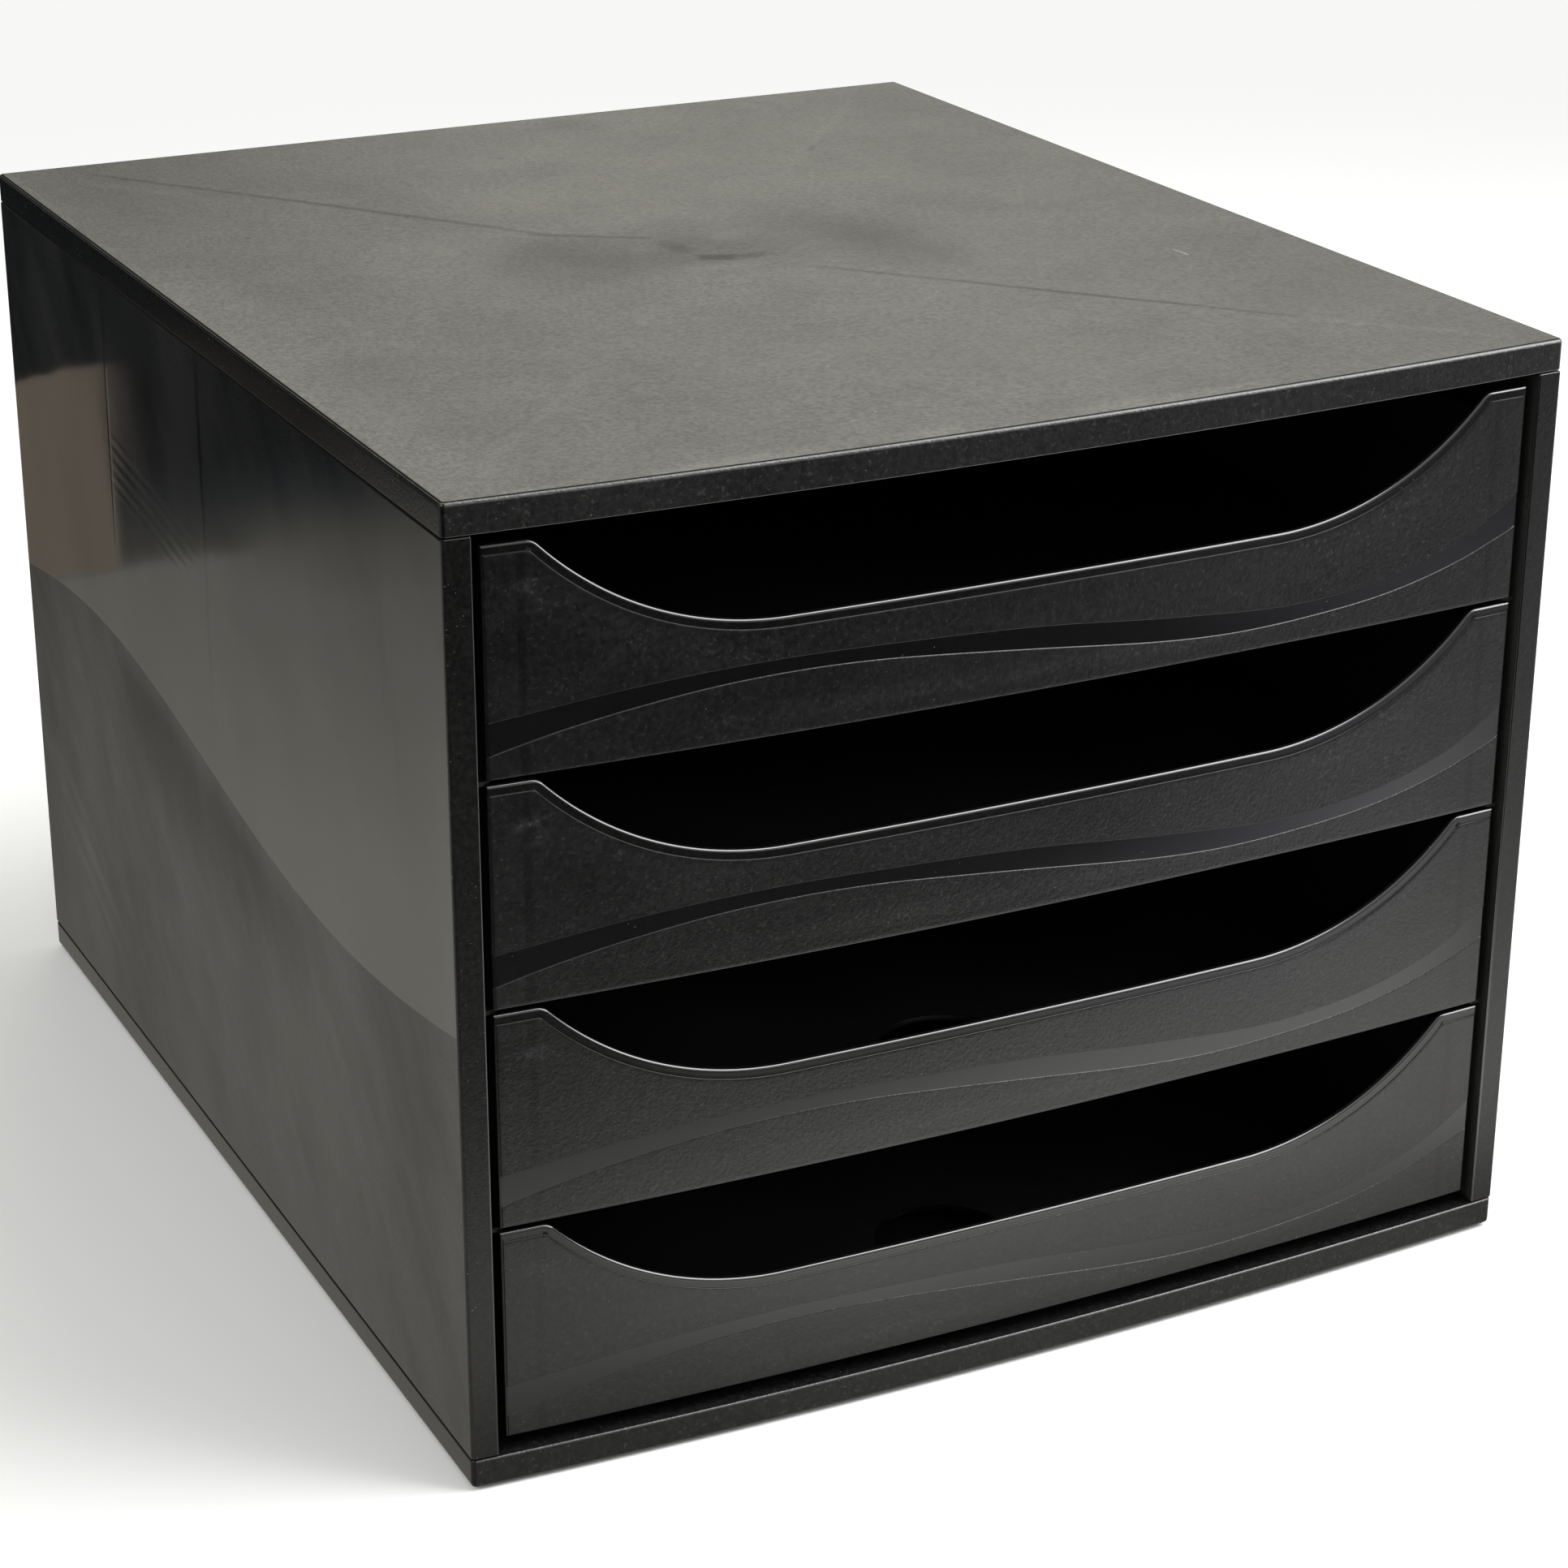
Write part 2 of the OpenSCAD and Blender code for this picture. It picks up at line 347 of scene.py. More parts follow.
def fibres(N, scale, share, width, shift=0.3):
    """0..1 mask of a few short curved hairs of dust"""
    w = N.noise(60.0, 1.0, 0.5, N.mapping(loc=(shift, -shift, shift)))
    warp = N.nt.nodes.new("ShaderNodeVectorMath")
    warp.operation = "MULTIPLY_ADD"
    N.link(w, warp.inputs[0])
    warp.inputs[1].default_value = (0.010, -0.008, 0.009)
    N.link(N.mapping(loc=(shift, shift, -shift)), warp.inputs[2])
    d, c = N.voronoi(scale, warp.outputs[0], feature="DISTANCE_TO_EDGE")
    _, c = N.voronoi(scale, warp.outputs[0])
    sep = N.nt.nodes.new("ShaderNodeSeparateColor")
    N.link(c, sep.inputs[0])
    on = N.math("LESS_THAN", sep.outputs[2], share)
    line = N.range(d, width * 0.4, width, 1.0, 0.0)
    part = N.range(N.noise(130.0, 0.0, 0.5, N.mapping(loc=(-shift, shift, shift))), 0.60, 0.63, 0.0, 1.0)
    return N.math("MULTIPLY", N.math("MULTIPLY", on, line), part)


def times(N, vec, fac):
    """colour times a number"""
    n = N.nt.nodes.new("ShaderNodeVectorMath")
    n.operation = "SCALE"
    if isinstance(vec, tuple):
        n.inputs[0].default_value = vec
    else:
        N.link(vec, n.inputs[0])
    N.link(fac, n.inputs["Scale"])
    return n.outputs[0]


def plastic(name, color, rough, grain=0.0, grain_scale=1500.0, tint=0.15, spark=0.0, wavy=0.0, dust=0.3, dust_share=0.1,
            hairs=0.0, cloud=0.1, rough_var=0.04, spec=0.5, marks=None):
    """black moulded polystyrene: clouds of flow, fine grain with painted glints, dust, and marks of its own, some of
    them painted shade and sheen
    """
    m, nt, b = tree(name, spec)
    N = Nodes(nt)
    clouds = N.noise(9.0, 4.0, 0.55, dist=0.6)
    fine = N.noise(grain_scale * 0.62, 2.0, 0.6)
    # colour: nearly black, uneven at the scale of the flow and of the grain
    k = N.range(clouds, 0.3, 0.7, 1.0 - cloud, 1.0 + cloud)
    k = N.math("MULTIPLY", k, N.range(fine, 0.32, 0.68, 1.0 - tint, 1.0 + tint, False))
    if spark:
        # painted glints: single grains painted lighter, where they would catch the light
        k = N.math("ADD", k, N.math("MULTIPLY", N.range(N.noise(grain_scale * 0.9, 1.0, 0.5), 0.6, 0.74, 0.0, 1.0), spark))
    r = N.range(clouds, 0.25, 0.75, rough - rough_var, rough + rough_var)
    height = None
    if marks:
        k, r, height = marks(N, k, r)
    base = times(N, color, k)
    sp = N.math("MAXIMUM", specks(N, 760.0, dust_share * 0.6, 0.1), specks(N, 1300.0, dust_share * 0.5, 0.13, 0.31))
    sp = N.math("MULTIPLY", sp, N.range(N.noise(38.0, 3.0, 0.6), 0.4, 0.6, 0.15, 1.0))
    if hairs:
        sp = N.math("MAXIMUM", sp, N.math("MULTIPLY", fibres(N, 75.0, hairs, 0.018), 0.8))
    colour = N.mix(N.math("MULTIPLY", sp, dust), base, (0.42, 0.42, 0.41))
    N.link(colour, b.inputs["Base Color"])
    r = N.math("ADD", r, N.math("MULTIPLY", sp, 0.3), clamp=True)
    N.link(r, b.inputs["Roughness"])
    nrm = None
    if wavy:
        nrm = N.bump(N.noise(14.0, 2.0, 0.5), wavy, 0.002)
    if height is not None:
        nrm = N.bump(height, 1.0, 0.001, nrm)
    if grain:
        g = N.noise(grain_scale, 3.0, 0.65)
        nrm = N.bump(g, grain, 0.00025, nrm)
    if nrm is not None:
        N.link(nrm, b.inputs["Normal"])
    return m


# marks in the moulded skin, with some painted shade and sheen, drawn in millimetres
def local(N, cx, cy, deg=0.0, sx=1.0, sy=1.0, plane="xy", vec=None):
    """u, v in a frame at (cx, cy) of the lid (or x, z of a front), turned by deg and scaled"""
    n = N.nt.nodes.new("ShaderNodeMapping")
    n.vector_type = "TEXTURE"
    a = math.radians(deg)
    if plane == "xy":
        n.inputs["Location"].default_value = (cx * MM, cy * MM, 0)
        n.inputs["Rotation"].default_value = (0, 0, a)
        n.inputs["Scale"].default_value = (sx * MM, sy * MM, MM)
    N.link(vec or N.co, n.inputs["Vector"])
    sep = N.nt.nodes.new("ShaderNodeSeparateXYZ")
    N.link(n.outputs[0], sep.inputs[0])
    return sep.outputs[0], sep.outputs[1]


def streak(N, x0, y0, x1, y1, w, fade0=0.15, fade1=0.15, soft=2.2, vec=None):
    """0..1 line from one point to another, w wide, that fades in and out"""
    L = math.hypot(x1 - x0, y1 - y0)
    u, v = local(N, x0, y0, math.degrees(math.atan2(y1 - y0, x1 - x0)), vec=vec)
    across = N.range(N.math("ABSOLUTE", v), w * 0.25, w * soft * 0.5, 1.0, 0.0)
    along = N.math("MULTIPLY", N.range(u, 0.0, max(fade0 * L, 0.01), 0.0, 1.0), N.range(u, L - max(fade1 * L, 0.01), L, 1.0, 0.0))
    return N.math("MULTIPLY", across, along)


def blob(N, cx, cy, rx, ry, deg=0.0, inner=0.0, vec=None):
    """0..1 soft oval"""
    u, v = local(N, cx, cy, deg, rx, ry, vec=vec)
    d = N.math("SQRT", N.math("ADD", N.math("MULTIPLY", u, u), N.math("MULTIPLY", v, v)))
    return N.range(d, inner, 1.0, 1.0, 0.0)


def lid_marks(N, k, r):
    """weld lines from the gate in the middle to the corners, the gate's own blemish, soft dull places, scuffs, and
    painted shade that darkens the back left and the right side
    """
    # a little unevenness, so that no line is ruler-straight
    w = N.nt.nodes.new("ShaderNodeVectorMath")
    w.operation = "MULTIPLY_ADD"
    noise_n = N.nt.nodes.new("ShaderNodeTexNoise")
    noise_n.inputs["Scale"].default_value = 22.0
    noise_n.inputs["Detail"].default_value = 3.0
    N.link(N.co, noise_n.inputs["Vector"])
    N.link(noise_n.outputs["Color"], w.inputs[0])
    w.inputs[1].default_value = (0.0035, 0.0035, 0.0)
    off = N.mapping(loc=(-0.00175, -0.00175, 0))
    N.link(off, w.inputs[2])
    vec = w.outputs[0]
    dark = N.math("MULTIPLY", streak(N, -126, 165, -30, 32, 1.6, 0.15, 0.06, vec=vec), 0.6)
    dark = N.math("ADD", dark, N.math("MULTIPLY", streak(N, -92, 119, -36, 43, 1.1, 0.3, 0.2, vec=vec), 0.4))
    dark = N.math("ADD", dark, N.math("MULTIPLY", streak(N, -40, 40, -8, 18.5, 1.9, 0.2, 0.15, vec=vec), 0.6))
    dark = N.math("ADD", dark, N.math("MULTIPLY", streak(N, 6, -14, 104, -128, 1.6, 0.2, 0.12, vec=vec), 0.6))
    dark = N.math("ADD", dark, N.math("MULTIPLY", streak(N, 34, -45, 86, -107, 1.1, 0.25, 0.25, vec=vec), 0.4))
    # the gate
    dark = N.math("ADD", dark, N.math("MULTIPLY", streak(N, -10, 19, -7, -1, 4.2, 0.3, 0.3, vec=vec), 0.5))
    dark = N.math("ADD", dark, N.math("MULTIPLY", streak(N, -9, -3.5, 3, -8, 3.8, 0.25, 0.25, vec=vec), 0.9))
    dark = N.math("ADD", dark, N.math("MULTIPLY", streak(N, 1, -7.5, 14, -8, 3.0, 0.2, 0.6, vec=vec), 0.55))
    # dull places
    dark = N.math("ADD", dark, N.math("MULTIPLY", blob(N, -40, 5, 34, 42, 20, vec=vec), 0.62))
    dark = N.math("ADD", dark, N.math("MULTIPLY", blob(N, 41, -2, 27, 54, 14, vec=vec), 0.72))
    dark = N.math("ADD", dark, N.math("MULTIPLY", blob(N, -4, 6, 40, 36, 0, vec=vec), 0.62))
    dark = N.math("ADD", dark, N.math("MULTIPLY", blob(N, -34, 26, 24, 16, 40, vec=vec), 0.35))
    dark = N.math("ADD", dark, N.math("MULTIPLY", blob(N, 26, 156, 16, 14, 0, vec=vec), 0.5))
    dark = N.math("ADD", dark, N.math("MULTIPLY", blob(N, 61, -110, 19, 13, 30, vec=vec), 0.25))
    dark = N.math("ADD", dark, N.math("MULTIPLY", blob(N, -14, -133, 6, 6, 0, vec=vec), 0.28))
    dark = N.math("ADD", dark, N.math("MULTIPLY", blob(N, -116, -31, 5.5, 6, 0, 0.5, vec=vec), 0.14))
    dark = N.math("ADD", dark, N.math("MULTIPLY", blob(N, -104, 67, 1.0, 1.0, 0, 0.5), 0.8))
    dark = N.math("ADD", dark, N.math("MULTIPLY", blob(N, -9, 124, 1.5, 2.4, 30, 0.3), 0.5))
    dark = N.math("ADD", dark, N.math("MULTIPLY", streak(N, 79, 101, 73, 92, 1.3, 0.2, 0.2), 0.4))
    # painted shade: the back left is darker than the rest, and a little rougher
    x, y, z = N.xyz()
    slope = N.math("SUBTRACT", N.math("MULTIPLY", y, 0.9), x)
    dark = N.math("ADD", dark, N.range(slope, 0.10, 0.27, 0.0, 0.5))
    # pale lines, lobes and scuffs
    pale = N.math("MULTIPLY", streak(N, -130, -152, -14, -17, 2.2, 0.1, 0.8, vec=vec), 0.2)
    pale = N.math("ADD", pale, N.math("MULTIPLY", streak(N, 124, 159, 14, 20, 2.2, 0.15, 0.7, vec=vec), 0.2))
    pale = N.math("ADD", pale, N.math("MULTIPLY", streak(N, 92, -115, 134, -160, 2.2, 0.3, 0.1, vec=vec), 0.35))
    pale = N.math("ADD", pale, N.math("MULTIPLY", streak(N, -126, 150, -92, 104, 3.5, 0.2, 0.5, vec=vec), 0.25))
    pale = N.math("ADD", pale, N.math("MULTIPLY", blob(N, 8, 14, 10, 8, 50, vec=vec), 0.5))
    pale = N.math("ADD", pale, N.math("MULTIPLY", streak(N, -18, -13, 10, -15.5, 4.5, 0.2, 0.3, vec=vec), 0.35))
    pale = N.math("ADD", pale, N.math("MULTIPLY", blob(N, -17, 11, 4, 7, -20, vec=vec), 0.35))
    pale = N.math("ADD", pale, N.math("MULTIPLY", blob(N, -3.4, -4.2, 0.7, 0.7), 0.9))
    pale = N.math("ADD", pale, N.math("MULTIPLY", streak(N, 105.9, -57.5, 105.2, -49.5, 0.55, 0.1, 0.3), 3.2))
    pale = N.math("ADD", pale, N.math("MULTIPLY", blob(N, -31.5, -145.4, 1.2, 0.6, 35, 0.2), 2.6))
    pale = N.math("ADD", pale, N.math("MULTIPLY", blob(N, -39, -149.4, 1.5, 0.5, 10, 0.2), 1.4))
    # handling has polished the border a little paler, most along the left and the front
    ex = N.math("MAXIMUM", N.range(x, -0.1385, -0.1395, 0, 1), N.range(y, -0.160, -0.164, 0, 1))
    pale = N.math("ADD", pale, N.math("MULTIPLY", N.range(N.math("ADD", x, N.math("MULTIPLY", N.noise(60.0, 2.0, 0.6), 0.012)), -0.110, -0.134, 0, 1), 0.32))
    pale = N.math("ADD", pale, N.math("MULTIPLY", ex, N.math("MULTIPLY", N.range(N.noise(45.0, 3.0, 0.6), 0.4, 0.65, 0, 1), 0.5)))
    mottle = N.range(N.noise(28.0, 4.0, 0.6), 0.3, 0.7, -0.17, 0.17)
    # painted shade: the right side is a little darker, and a little rougher; the broad dull zone around the gate is
    # among the dull places above
    dark = N.math("ADD", dark, N.range(x, 0.0, 0.14, 0.0, 0.3))
    total = N.math("ADD", N.math("SUBTRACT", pale, dark), mottle)
    k = N.math("MULTIPLY", k, N.math("MAXIMUM", N.math("ADD", 1.0, N.math("MULTIPLY", total, 0.62)), 0.1))
    r = N.math("ADD", r, N.math("MULTIPLY", total, -0.05))
    height = N.math("MULTIPLY", N.math("SUBTRACT", pale, dark), 0.05)
    return k, r, height


def plane_vec(N, a, b):
    n = N.nt.nodes.new("ShaderNodeCombineXYZ")
    N.link(a, n.inputs[0])
    N.link(b, n.inputs[1])
    return n.outputs[0]


def ripple(N, x0, y0, x1, y1, w, pitch, vec):
    """a short run of fine parallel ripples, w wide"""
    L = math.hypot(x1 - x0, y1 - y0)
    u, v = local(N, x0, y0, math.degrees(math.atan2(y1 - y0, x1 - x0)), vec=vec)
    env = N.math("MULTIPLY", N.range(u, 0.0, 0.3 * L, 0.0, 1.0), N.range(u, 0.7 * L, L, 1.0, 0.0))
    env = N.math("MULTIPLY", env, N.range(N.math("ABSOLUTE", v), w * 0.25, w * 0.5, 1.0, 0.0))
    return N.math("MULTIPLY", env, N.math("SINE", N.math("MULTIPLY", v, 2 * math.pi / pitch)))


def side_marks(N, k, r):
    """flow marks of a side panel: faint upright sink lines, slanting ripples, soft pale and dark clouds"""
    x, y, z = N.xyz()
    flat = plane_vec(N, y, z)
    # soft clouds that run down towards the front
    c = N.nt.nodes.new("ShaderNodeMapping")
    c.vector_type = "TEXTURE"
    c.inputs["Rotation"].default_value = (0, 0, math.radians(48))
    c.inputs["Scale"].default_value = (3.2, 1.0, 1.0)
    N.link(flat, c.inputs["Vector"])
    clouds = N.range(N.noise(34.0, 3.0, 0.55, c.outputs[0], 0.4), 0.3, 0.7, -0.42, 0.42)
    fine = N.range(N.noise(150.0, 2.0, 0.6, c.outputs[0]), 0.35, 0.65, -0.16, 0.16)
    # a dull band that follows the wave, and upright cloudy columns
    wave = N.math("MULTIPLY", N.math("COSINE", N.math("MULTIPLY", N.math("SUBTRACT", 0.101, y), math.pi / 0.188)), 0.0105)
    below = N.math("SUBTRACT", N.math("ADD", wave, 0.118), z)
    dull = N.math("MULTIPLY", N.range(below, 0.0, 0.010, 0.0, 1.0), N.range(below, 0.012, 0.045, 1.0, 0.0))
    dull = N.math("MULTIPLY", dull, N.math("MULTIPLY", N.range(y, 0.10, 0.055, 0.0, 1.0), N.range(y, -0.02, -0.09, 1.0, 0.0)))
    col = N.range(N.noise(26.0, 2.0, 0.5, N.mapping(scale=(1, 1, 0.12))), 0.35, 0.65, -0.3, 0.3)
    total = N.math("ADD", N.math("ADD", clouds, fine), N.math("SUBTRACT", col, N.math("MULTIPLY", dull, 0.9)))
    # slanting pale streaks low at the back
    for y0, z0, y1, z1, w, a in ((155, 62, 84, 30, 3.0, 0.7), (150, 52, 90, 22, 2.2, 0.6), (160, 74, 104, 48, 2.4, 0.45), (60, 60, 10, 30, 4.0, 0.35)):
        total = N.math("ADD", total, N.math("MULTIPLY", streak(N, y0, z0, y1, z1, w, 0.3, 0.4, vec=flat), a))
    for y0, z0, y1, z1, w, a in ((74, 232, 76, 150, 0.8, -0.9), (-3.5, 232, -2, 120, 1.6, -1.1), (-124, 228, -128, 168, 2.2, -0.5), (-131, 190, -136, 150, 2.0, -0.4)):
        total = N.math("ADD", total, N.math("MULTIPLY", streak(N, y0, z0, y1, z1, w, 0.2, 0.2, vec=flat), a))
    total = N.math("ADD", total, N.math("MULTIPLY", blob(N, -94.8, 139.8, 2.0, 2.0, vec=flat), -1.6))
    lines = N.math("MAXIMUM", ripple(N, 90, 182, -6, 170, 22.0, 3.6, flat), 0.0)
    total = N.math("ADD", total, N.math("MULTIPLY", lines, 0.9))
    # the right panel is the more even one
    total = N.math("MULTIPLY", total, N.range(x, -0.05, 0.05, 1.0, 0.45))
    k = N.math("MULTIPLY", k, N.math("MAXIMUM", N.math("ADD", 1.0, total), 0.05))
    r = N.math("ADD", r, N.math("MULTIPLY", dull, 0.05))
    # heights in metres: ripples beside the brown reflection, sink lines, slight warps of the panel
    h = N.math("MULTIPLY", ripple(N, 90, 182, -6, 170, 22.0, 3.6, flat), 0.000004)
    h = N.math("ADD", h, N.math("MULTIPLY", streak(N, 74, 232, 76, 150, 1.2, 0.2, 0.2, vec=flat), -0.00001))
    h = N.math("ADD", h, N.math("MULTIPLY", streak(N, -3.5, 232, -2, 120, 2.0, 0.2, 0.2, vec=flat), -0.00001))
    h = N.math("ADD", h, N.math("MULTIPLY", N.noise(17.0, 1.0, 0.4, N.mapping(scale=(1, 1, 0.6))), 0.0005))
    return k, r, N.math("MULTIPLY", h, 1000.0)


def front_marks(N, k, r):
    """sink lines over the ribs at both ends, pale patches, a soft lighter seam near the bottom, and a painted sheen
    along the scoop
    """
    x, y, z = N.xyz()
    t = N.math("SUBTRACT", N.math("MULTIPLY", N.math("FRACT", N.math("DIVIDE", N.math("SUBTRACT", z, (FIRST_Z - 0.5) * MM), PITCH * MM)), PITCH * MM), 0.5 * MM)
    row = N.math("DIVIDE", N.math("SUBTRACT", z, FIRST_Z * MM), 4 * PITCH * MM)
    ax = N.math("ABSOLUTE", x)
    flat = plane_vec(N, x, t)
    dx = N.math("MAXIMUM", N.math("SUBTRACT", ax, SCOOP_X * MM), 0.0)
    dz = N.math("SUBTRACT", (SCOOP_Z + SCOOP_R) * MM, t)
    far = N.math("SUBTRACT", N.math("SQRT", N.math("ADD", N.math("MULTIPLY", dx, dx), N.math("MULTIPLY", dz, dz))), SCOOP_R * MM)
    # painted sheen: a lighter band along the scoop, stronger towards the right and on the higher drawers
    glow = N.math("MULTIPLY", N.range(far, 0.002, 0.005, 0.0, 1.0), N.range(far, 0.005, 0.019, 1.0, 0.0))
    glow = N.math("MULTIPLY", glow, N.math("MULTIPLY", N.range(ax, 0.045, 0.085, 0.15, 1.0), N.range(ax, 0.105, 0.124, 1.0, 0.0)))
    glow = N.math("MULTIPLY", glow, N.range(x, -0.12, 0.1, 0.5, 1.0))
    glow = N.math("MULTIPLY", glow, N.range(row, 0.2, 0.95, 0.3, 1.4))
    seam = N.math("MULTIPLY", N.range(t, 0.002, 0.005, 0.0, 1.0), N.range(t, 0.005, 0.009, 1.0, 0.0))
    seam = N.math("MULTIPLY", seam, N.math("MULTIPLY", N.range(ax, 0.03, 0.12, 1.0, 0.0), 0.8))
    sink = N.math("MULTIPLY", N.range(N.math("ABSOLUTE", N.math("SUBTRACT", ax, 0.1245)), 0.0004, 0.0016, 1.0, 0.0), -0.5)
    patch = N.math("ADD", N.math("MULTIPLY", blob(N, -124.5, 42.5, 5.5, 2.4, 12, vec=flat), 2.4), N.math("MULTIPLY", blob(N, -121.0, 40.0, 8.0, 7.0, vec=flat), 0.6))
    patch = N.math("MULTIPLY", patch, N.range(N.noise(300.0, 3.0, 0.6), 0.35, 0.6, 0.2, 1.0))
    cl = N.nt.nodes.new("ShaderNodeMapping")
    cl.inputs["Scale"].default_value = (1.0, 1.0, 2.6)
    N.link(N.co, cl.inputs["Vector"])
    mott = N.range(N.noise(32.0, 4.0, 0.6, cl.outputs[0], 0.5), 0.3, 0.7, -0.22, 0.22)
    total = N.math("ADD", N.math("ADD", N.math("MULTIPLY", glow, 0.75), seam), N.math("ADD", N.math("ADD", sink, patch), mott))
    k = N.math("MULTIPLY", k, N.math("MAXIMUM", N.math("ADD", 1.0, total), 0.1))
    h = N.math("MULTIPLY", N.range(N.math("ABSOLUTE", N.math("SUBTRACT", ax, 0.1245)), 0.0, 0.0022, 1.0, 0.0), -0.012)
    return k, r, h


BLACK = (0.005, 0.005, 0.0048)
# the top's colour is lifted far above the cover's other faces: partly painted sheen, partly its scuffed, dusty finish
cover_top = plastic("cover_matt", (0.055, 0.0538, 0.049), 0.48, grain=0.5, grain_scale=1250, tint=0.4, cloud=0.05, dust=0.25, dust_share=0.03, marks=lid_marks)
edge_matt = plastic("edge_matt", (0.007, 0.007, 0.0069), 0.38, grain=0.55, grain_scale=1100, tint=0.5, spark=2.0, spec=0.32, dust_share=0.2, hairs=0.0)
# a darker, smoother copy of edge_matt for the end faces of cover and base: its darker colour is painted shade
edge_side = plastic("edge_side", (0.0035, 0.0035, 0.0034), 0.2, grain=0.18, grain_scale=1100, tint=0.5, spark=1.0, spec=0.24, dust_share=0.12)
# a brighter, shinier copy of edge_matt for the top roundings of cover and base: painted highlight
edge_painted_highlight = plastic("edge_painted_highlight", (0.009, 0.009, 0.0088), 0.38, grain=0.5, grain_scale=1100, tint=0.5, spark=1.5, spec=1.0, dust_share=0.1)
# a darker, duller copy for the crest of the cover's top rounding, the side panels' roundings at the partings and the
# walls of the push-out holes: painted shade
edge_painted_shade = plastic("edge_painted_shade", (0.003, 0.003, 0.003), 0.3, grain=0.1, grain_scale=1100, tint=0.4, spec=0.1, dust_share=0.02)
edge_line = plastic("edge_line", BLACK, 0.19, tint=0.3, dust_share=0.02, rough_var=0.02, spec=1.0)
side_gloss = plastic("side_gloss", (0.008, 0.008, 0.0074), 0.075, dust_share=0.02, rough_var=0.02, marks=side_marks)
side_matt = plastic("side_matt", (0.017, 0.017, 0.016), 0.35, grain=0.3, grain_scale=1500, tint=0.3, spec=0.33, dust_share=0.04, marks=side_marks)
back_matt = plastic("back_matt", BLACK, 0.36, grain=0.3, grain_scale=1500, tint=0.4, spec=0.4, dust_share=0.04)
strip_satin = plastic("strip_satin", BLACK, 0.26, grain=0.25, grain_scale=1200, tint=0.4, spark=0.8, spec=0.42, dust=0.6, dust_share=0.26, hairs=0.05)
front_matt = plastic("front_matt", (0.0045, 0.0045, 0.0045), 0.29, grain=0.35, grain_scale=1100, tint=0.5, spark=1.6, dust_share=0.06, marks=front_marks)
front_gloss = plastic("front_gloss", (0.0045, 0.0045, 0.0046), 0.11, wavy=0.03, dust_share=0.04, rough_var=0.02, spec=0.6)
rim_gloss = plastic("rim_gloss", BLACK, 0.16, tint=0.3, dust_share=0.04, rough_var=0.03)
rim_line = plastic("rim_line", BLACK, 0.17, tint=0.3, dust_share=0.02, rough_var=0.02, spec=1.0)
# its colour is lifted well above the other black parts: painted light that keeps the shaded inside of the trays from
# going pitch black
tray_satin = plastic("tray_satin", (0.014, 0.014, 0.014), 0.36, grain=0.08, grain_scale=900, dust_share=0.03)
rubber = plastic("foot_rubber", (0.012, 0.012, 0.012), 0.75, grain=0.4, grain_scale=900)

# ------------------------------------------------------------------- cover
s = Solid()
loops = []


def shell_plan(i, rc=1.4):
    r = max(rc - i, 0.2)
    return plan(W2 - i, D2 - i, i, r, r)


TOPR = 1.0
prof = [(2.0, TOP_Z - 2.2), (2.0, COVER_Z + 0.35), (1.85, COVER_Z + 0.15), (1.6, COVER_Z + 0.1), (0.45, COVER_Z + 0.1), (0.2, COVER_Z + 0.17), (0.06, COVER_Z + 0.3), (0.0, COVER_Z + 0.5), (0.0, TOP_Z - TOPR - 0.8)]
prof += [(TOPR * (1 - c), TOP_Z - TOPR + TOPR * sn) for c, sn in arc_pts(8, 0, 90)]
prof += [(3.0, TOP_Z)]
ids = [s.add(at(shell_plan(i), z)) for i, z in prof]
# slots along the profile: the crest of the top rounding gets a darker copy, painted shade; the rest of the top rounding
# a brighter, shinier copy, painted highlight; the end faces a darker copy, partly painted shade
for k in range(len(ids) - 1):
    below = prof[k + 1][0] < 1.2 and prof[k + 1][1] < TOP_Z - 0.2 or k < 4
    lower, upper = 4 <= k <= 6, prof[k][1] > TOP_Z - TOPR - 0.001
    crest = upper and prof[k][1] > TOP_Z - TOPR + TOPR * 0.82
    if crest:
        s.band(ids[k], ids[k + 1], 4 if prof[k + 1][0] <= TOPR + 0.001 else 0)
    else:
        s.band(ids[k], ids[k + 1], (lambda i: 2 if abs(s.v[ids[k][i]][0]) > W2 - 0.75 else (5 if lower else 3 if upper else 1)) if below else 0)
s.face(list(reversed(ids[0])), 1)
s.face(ids[-1], 0)
for sx in (-1, 1):
    x = sx * 136.0
    s.box(x - 0.8, x + 0.8, -150, 160, COVER_Z + 1, TOP_Z - 2.1, 0.25, m=1)
for y in (-100, -50, 0, 50, 100):
    s.box(-135.4, 135.4, y - 0.7, y + 0.7, TOP_Z - 5.2, TOP_Z - 2.1, 0.25, m=1)
for x in (-70, 0, 70):
    s.box(x - 0.7, x + 0.7, -155, 160, TOP_Z - 5.2, TOP_Z - 2.1, 0.25, m=1)
put("cover_shell", s.mesh("cover_shell"), [cover_top, edge_matt, edge_side, edge_painted_highlight, edge_painted_shade, edge_line], "housing", ["top_cover"])

# -------------------------------------------------------------------- base
s = Solid()
BR = 1.2
prof = [(2.0, BASE_TOP - 2.2), (2.0, BASE_Z + 0.3), (1.8, BASE_Z), (BR, BASE_Z)]
prof += [(BR * (1 - c), BASE_Z + BR - BR * sn) for c, sn in reversed(arc_pts(6, 0, 90))][1:]
prof += [(0.0, BASE_TOP - 0.7)]
prof += [(0.45 * (1 - c), BASE_TOP - 0.1 - 0.45 + 0.45 * sn) for c, sn in arc_pts(4, 0, 90)]
prof += [(2.0, BASE_TOP - 0.1)]
ids = [s.add(at(shell_plan(i), z)) for i, z in prof]
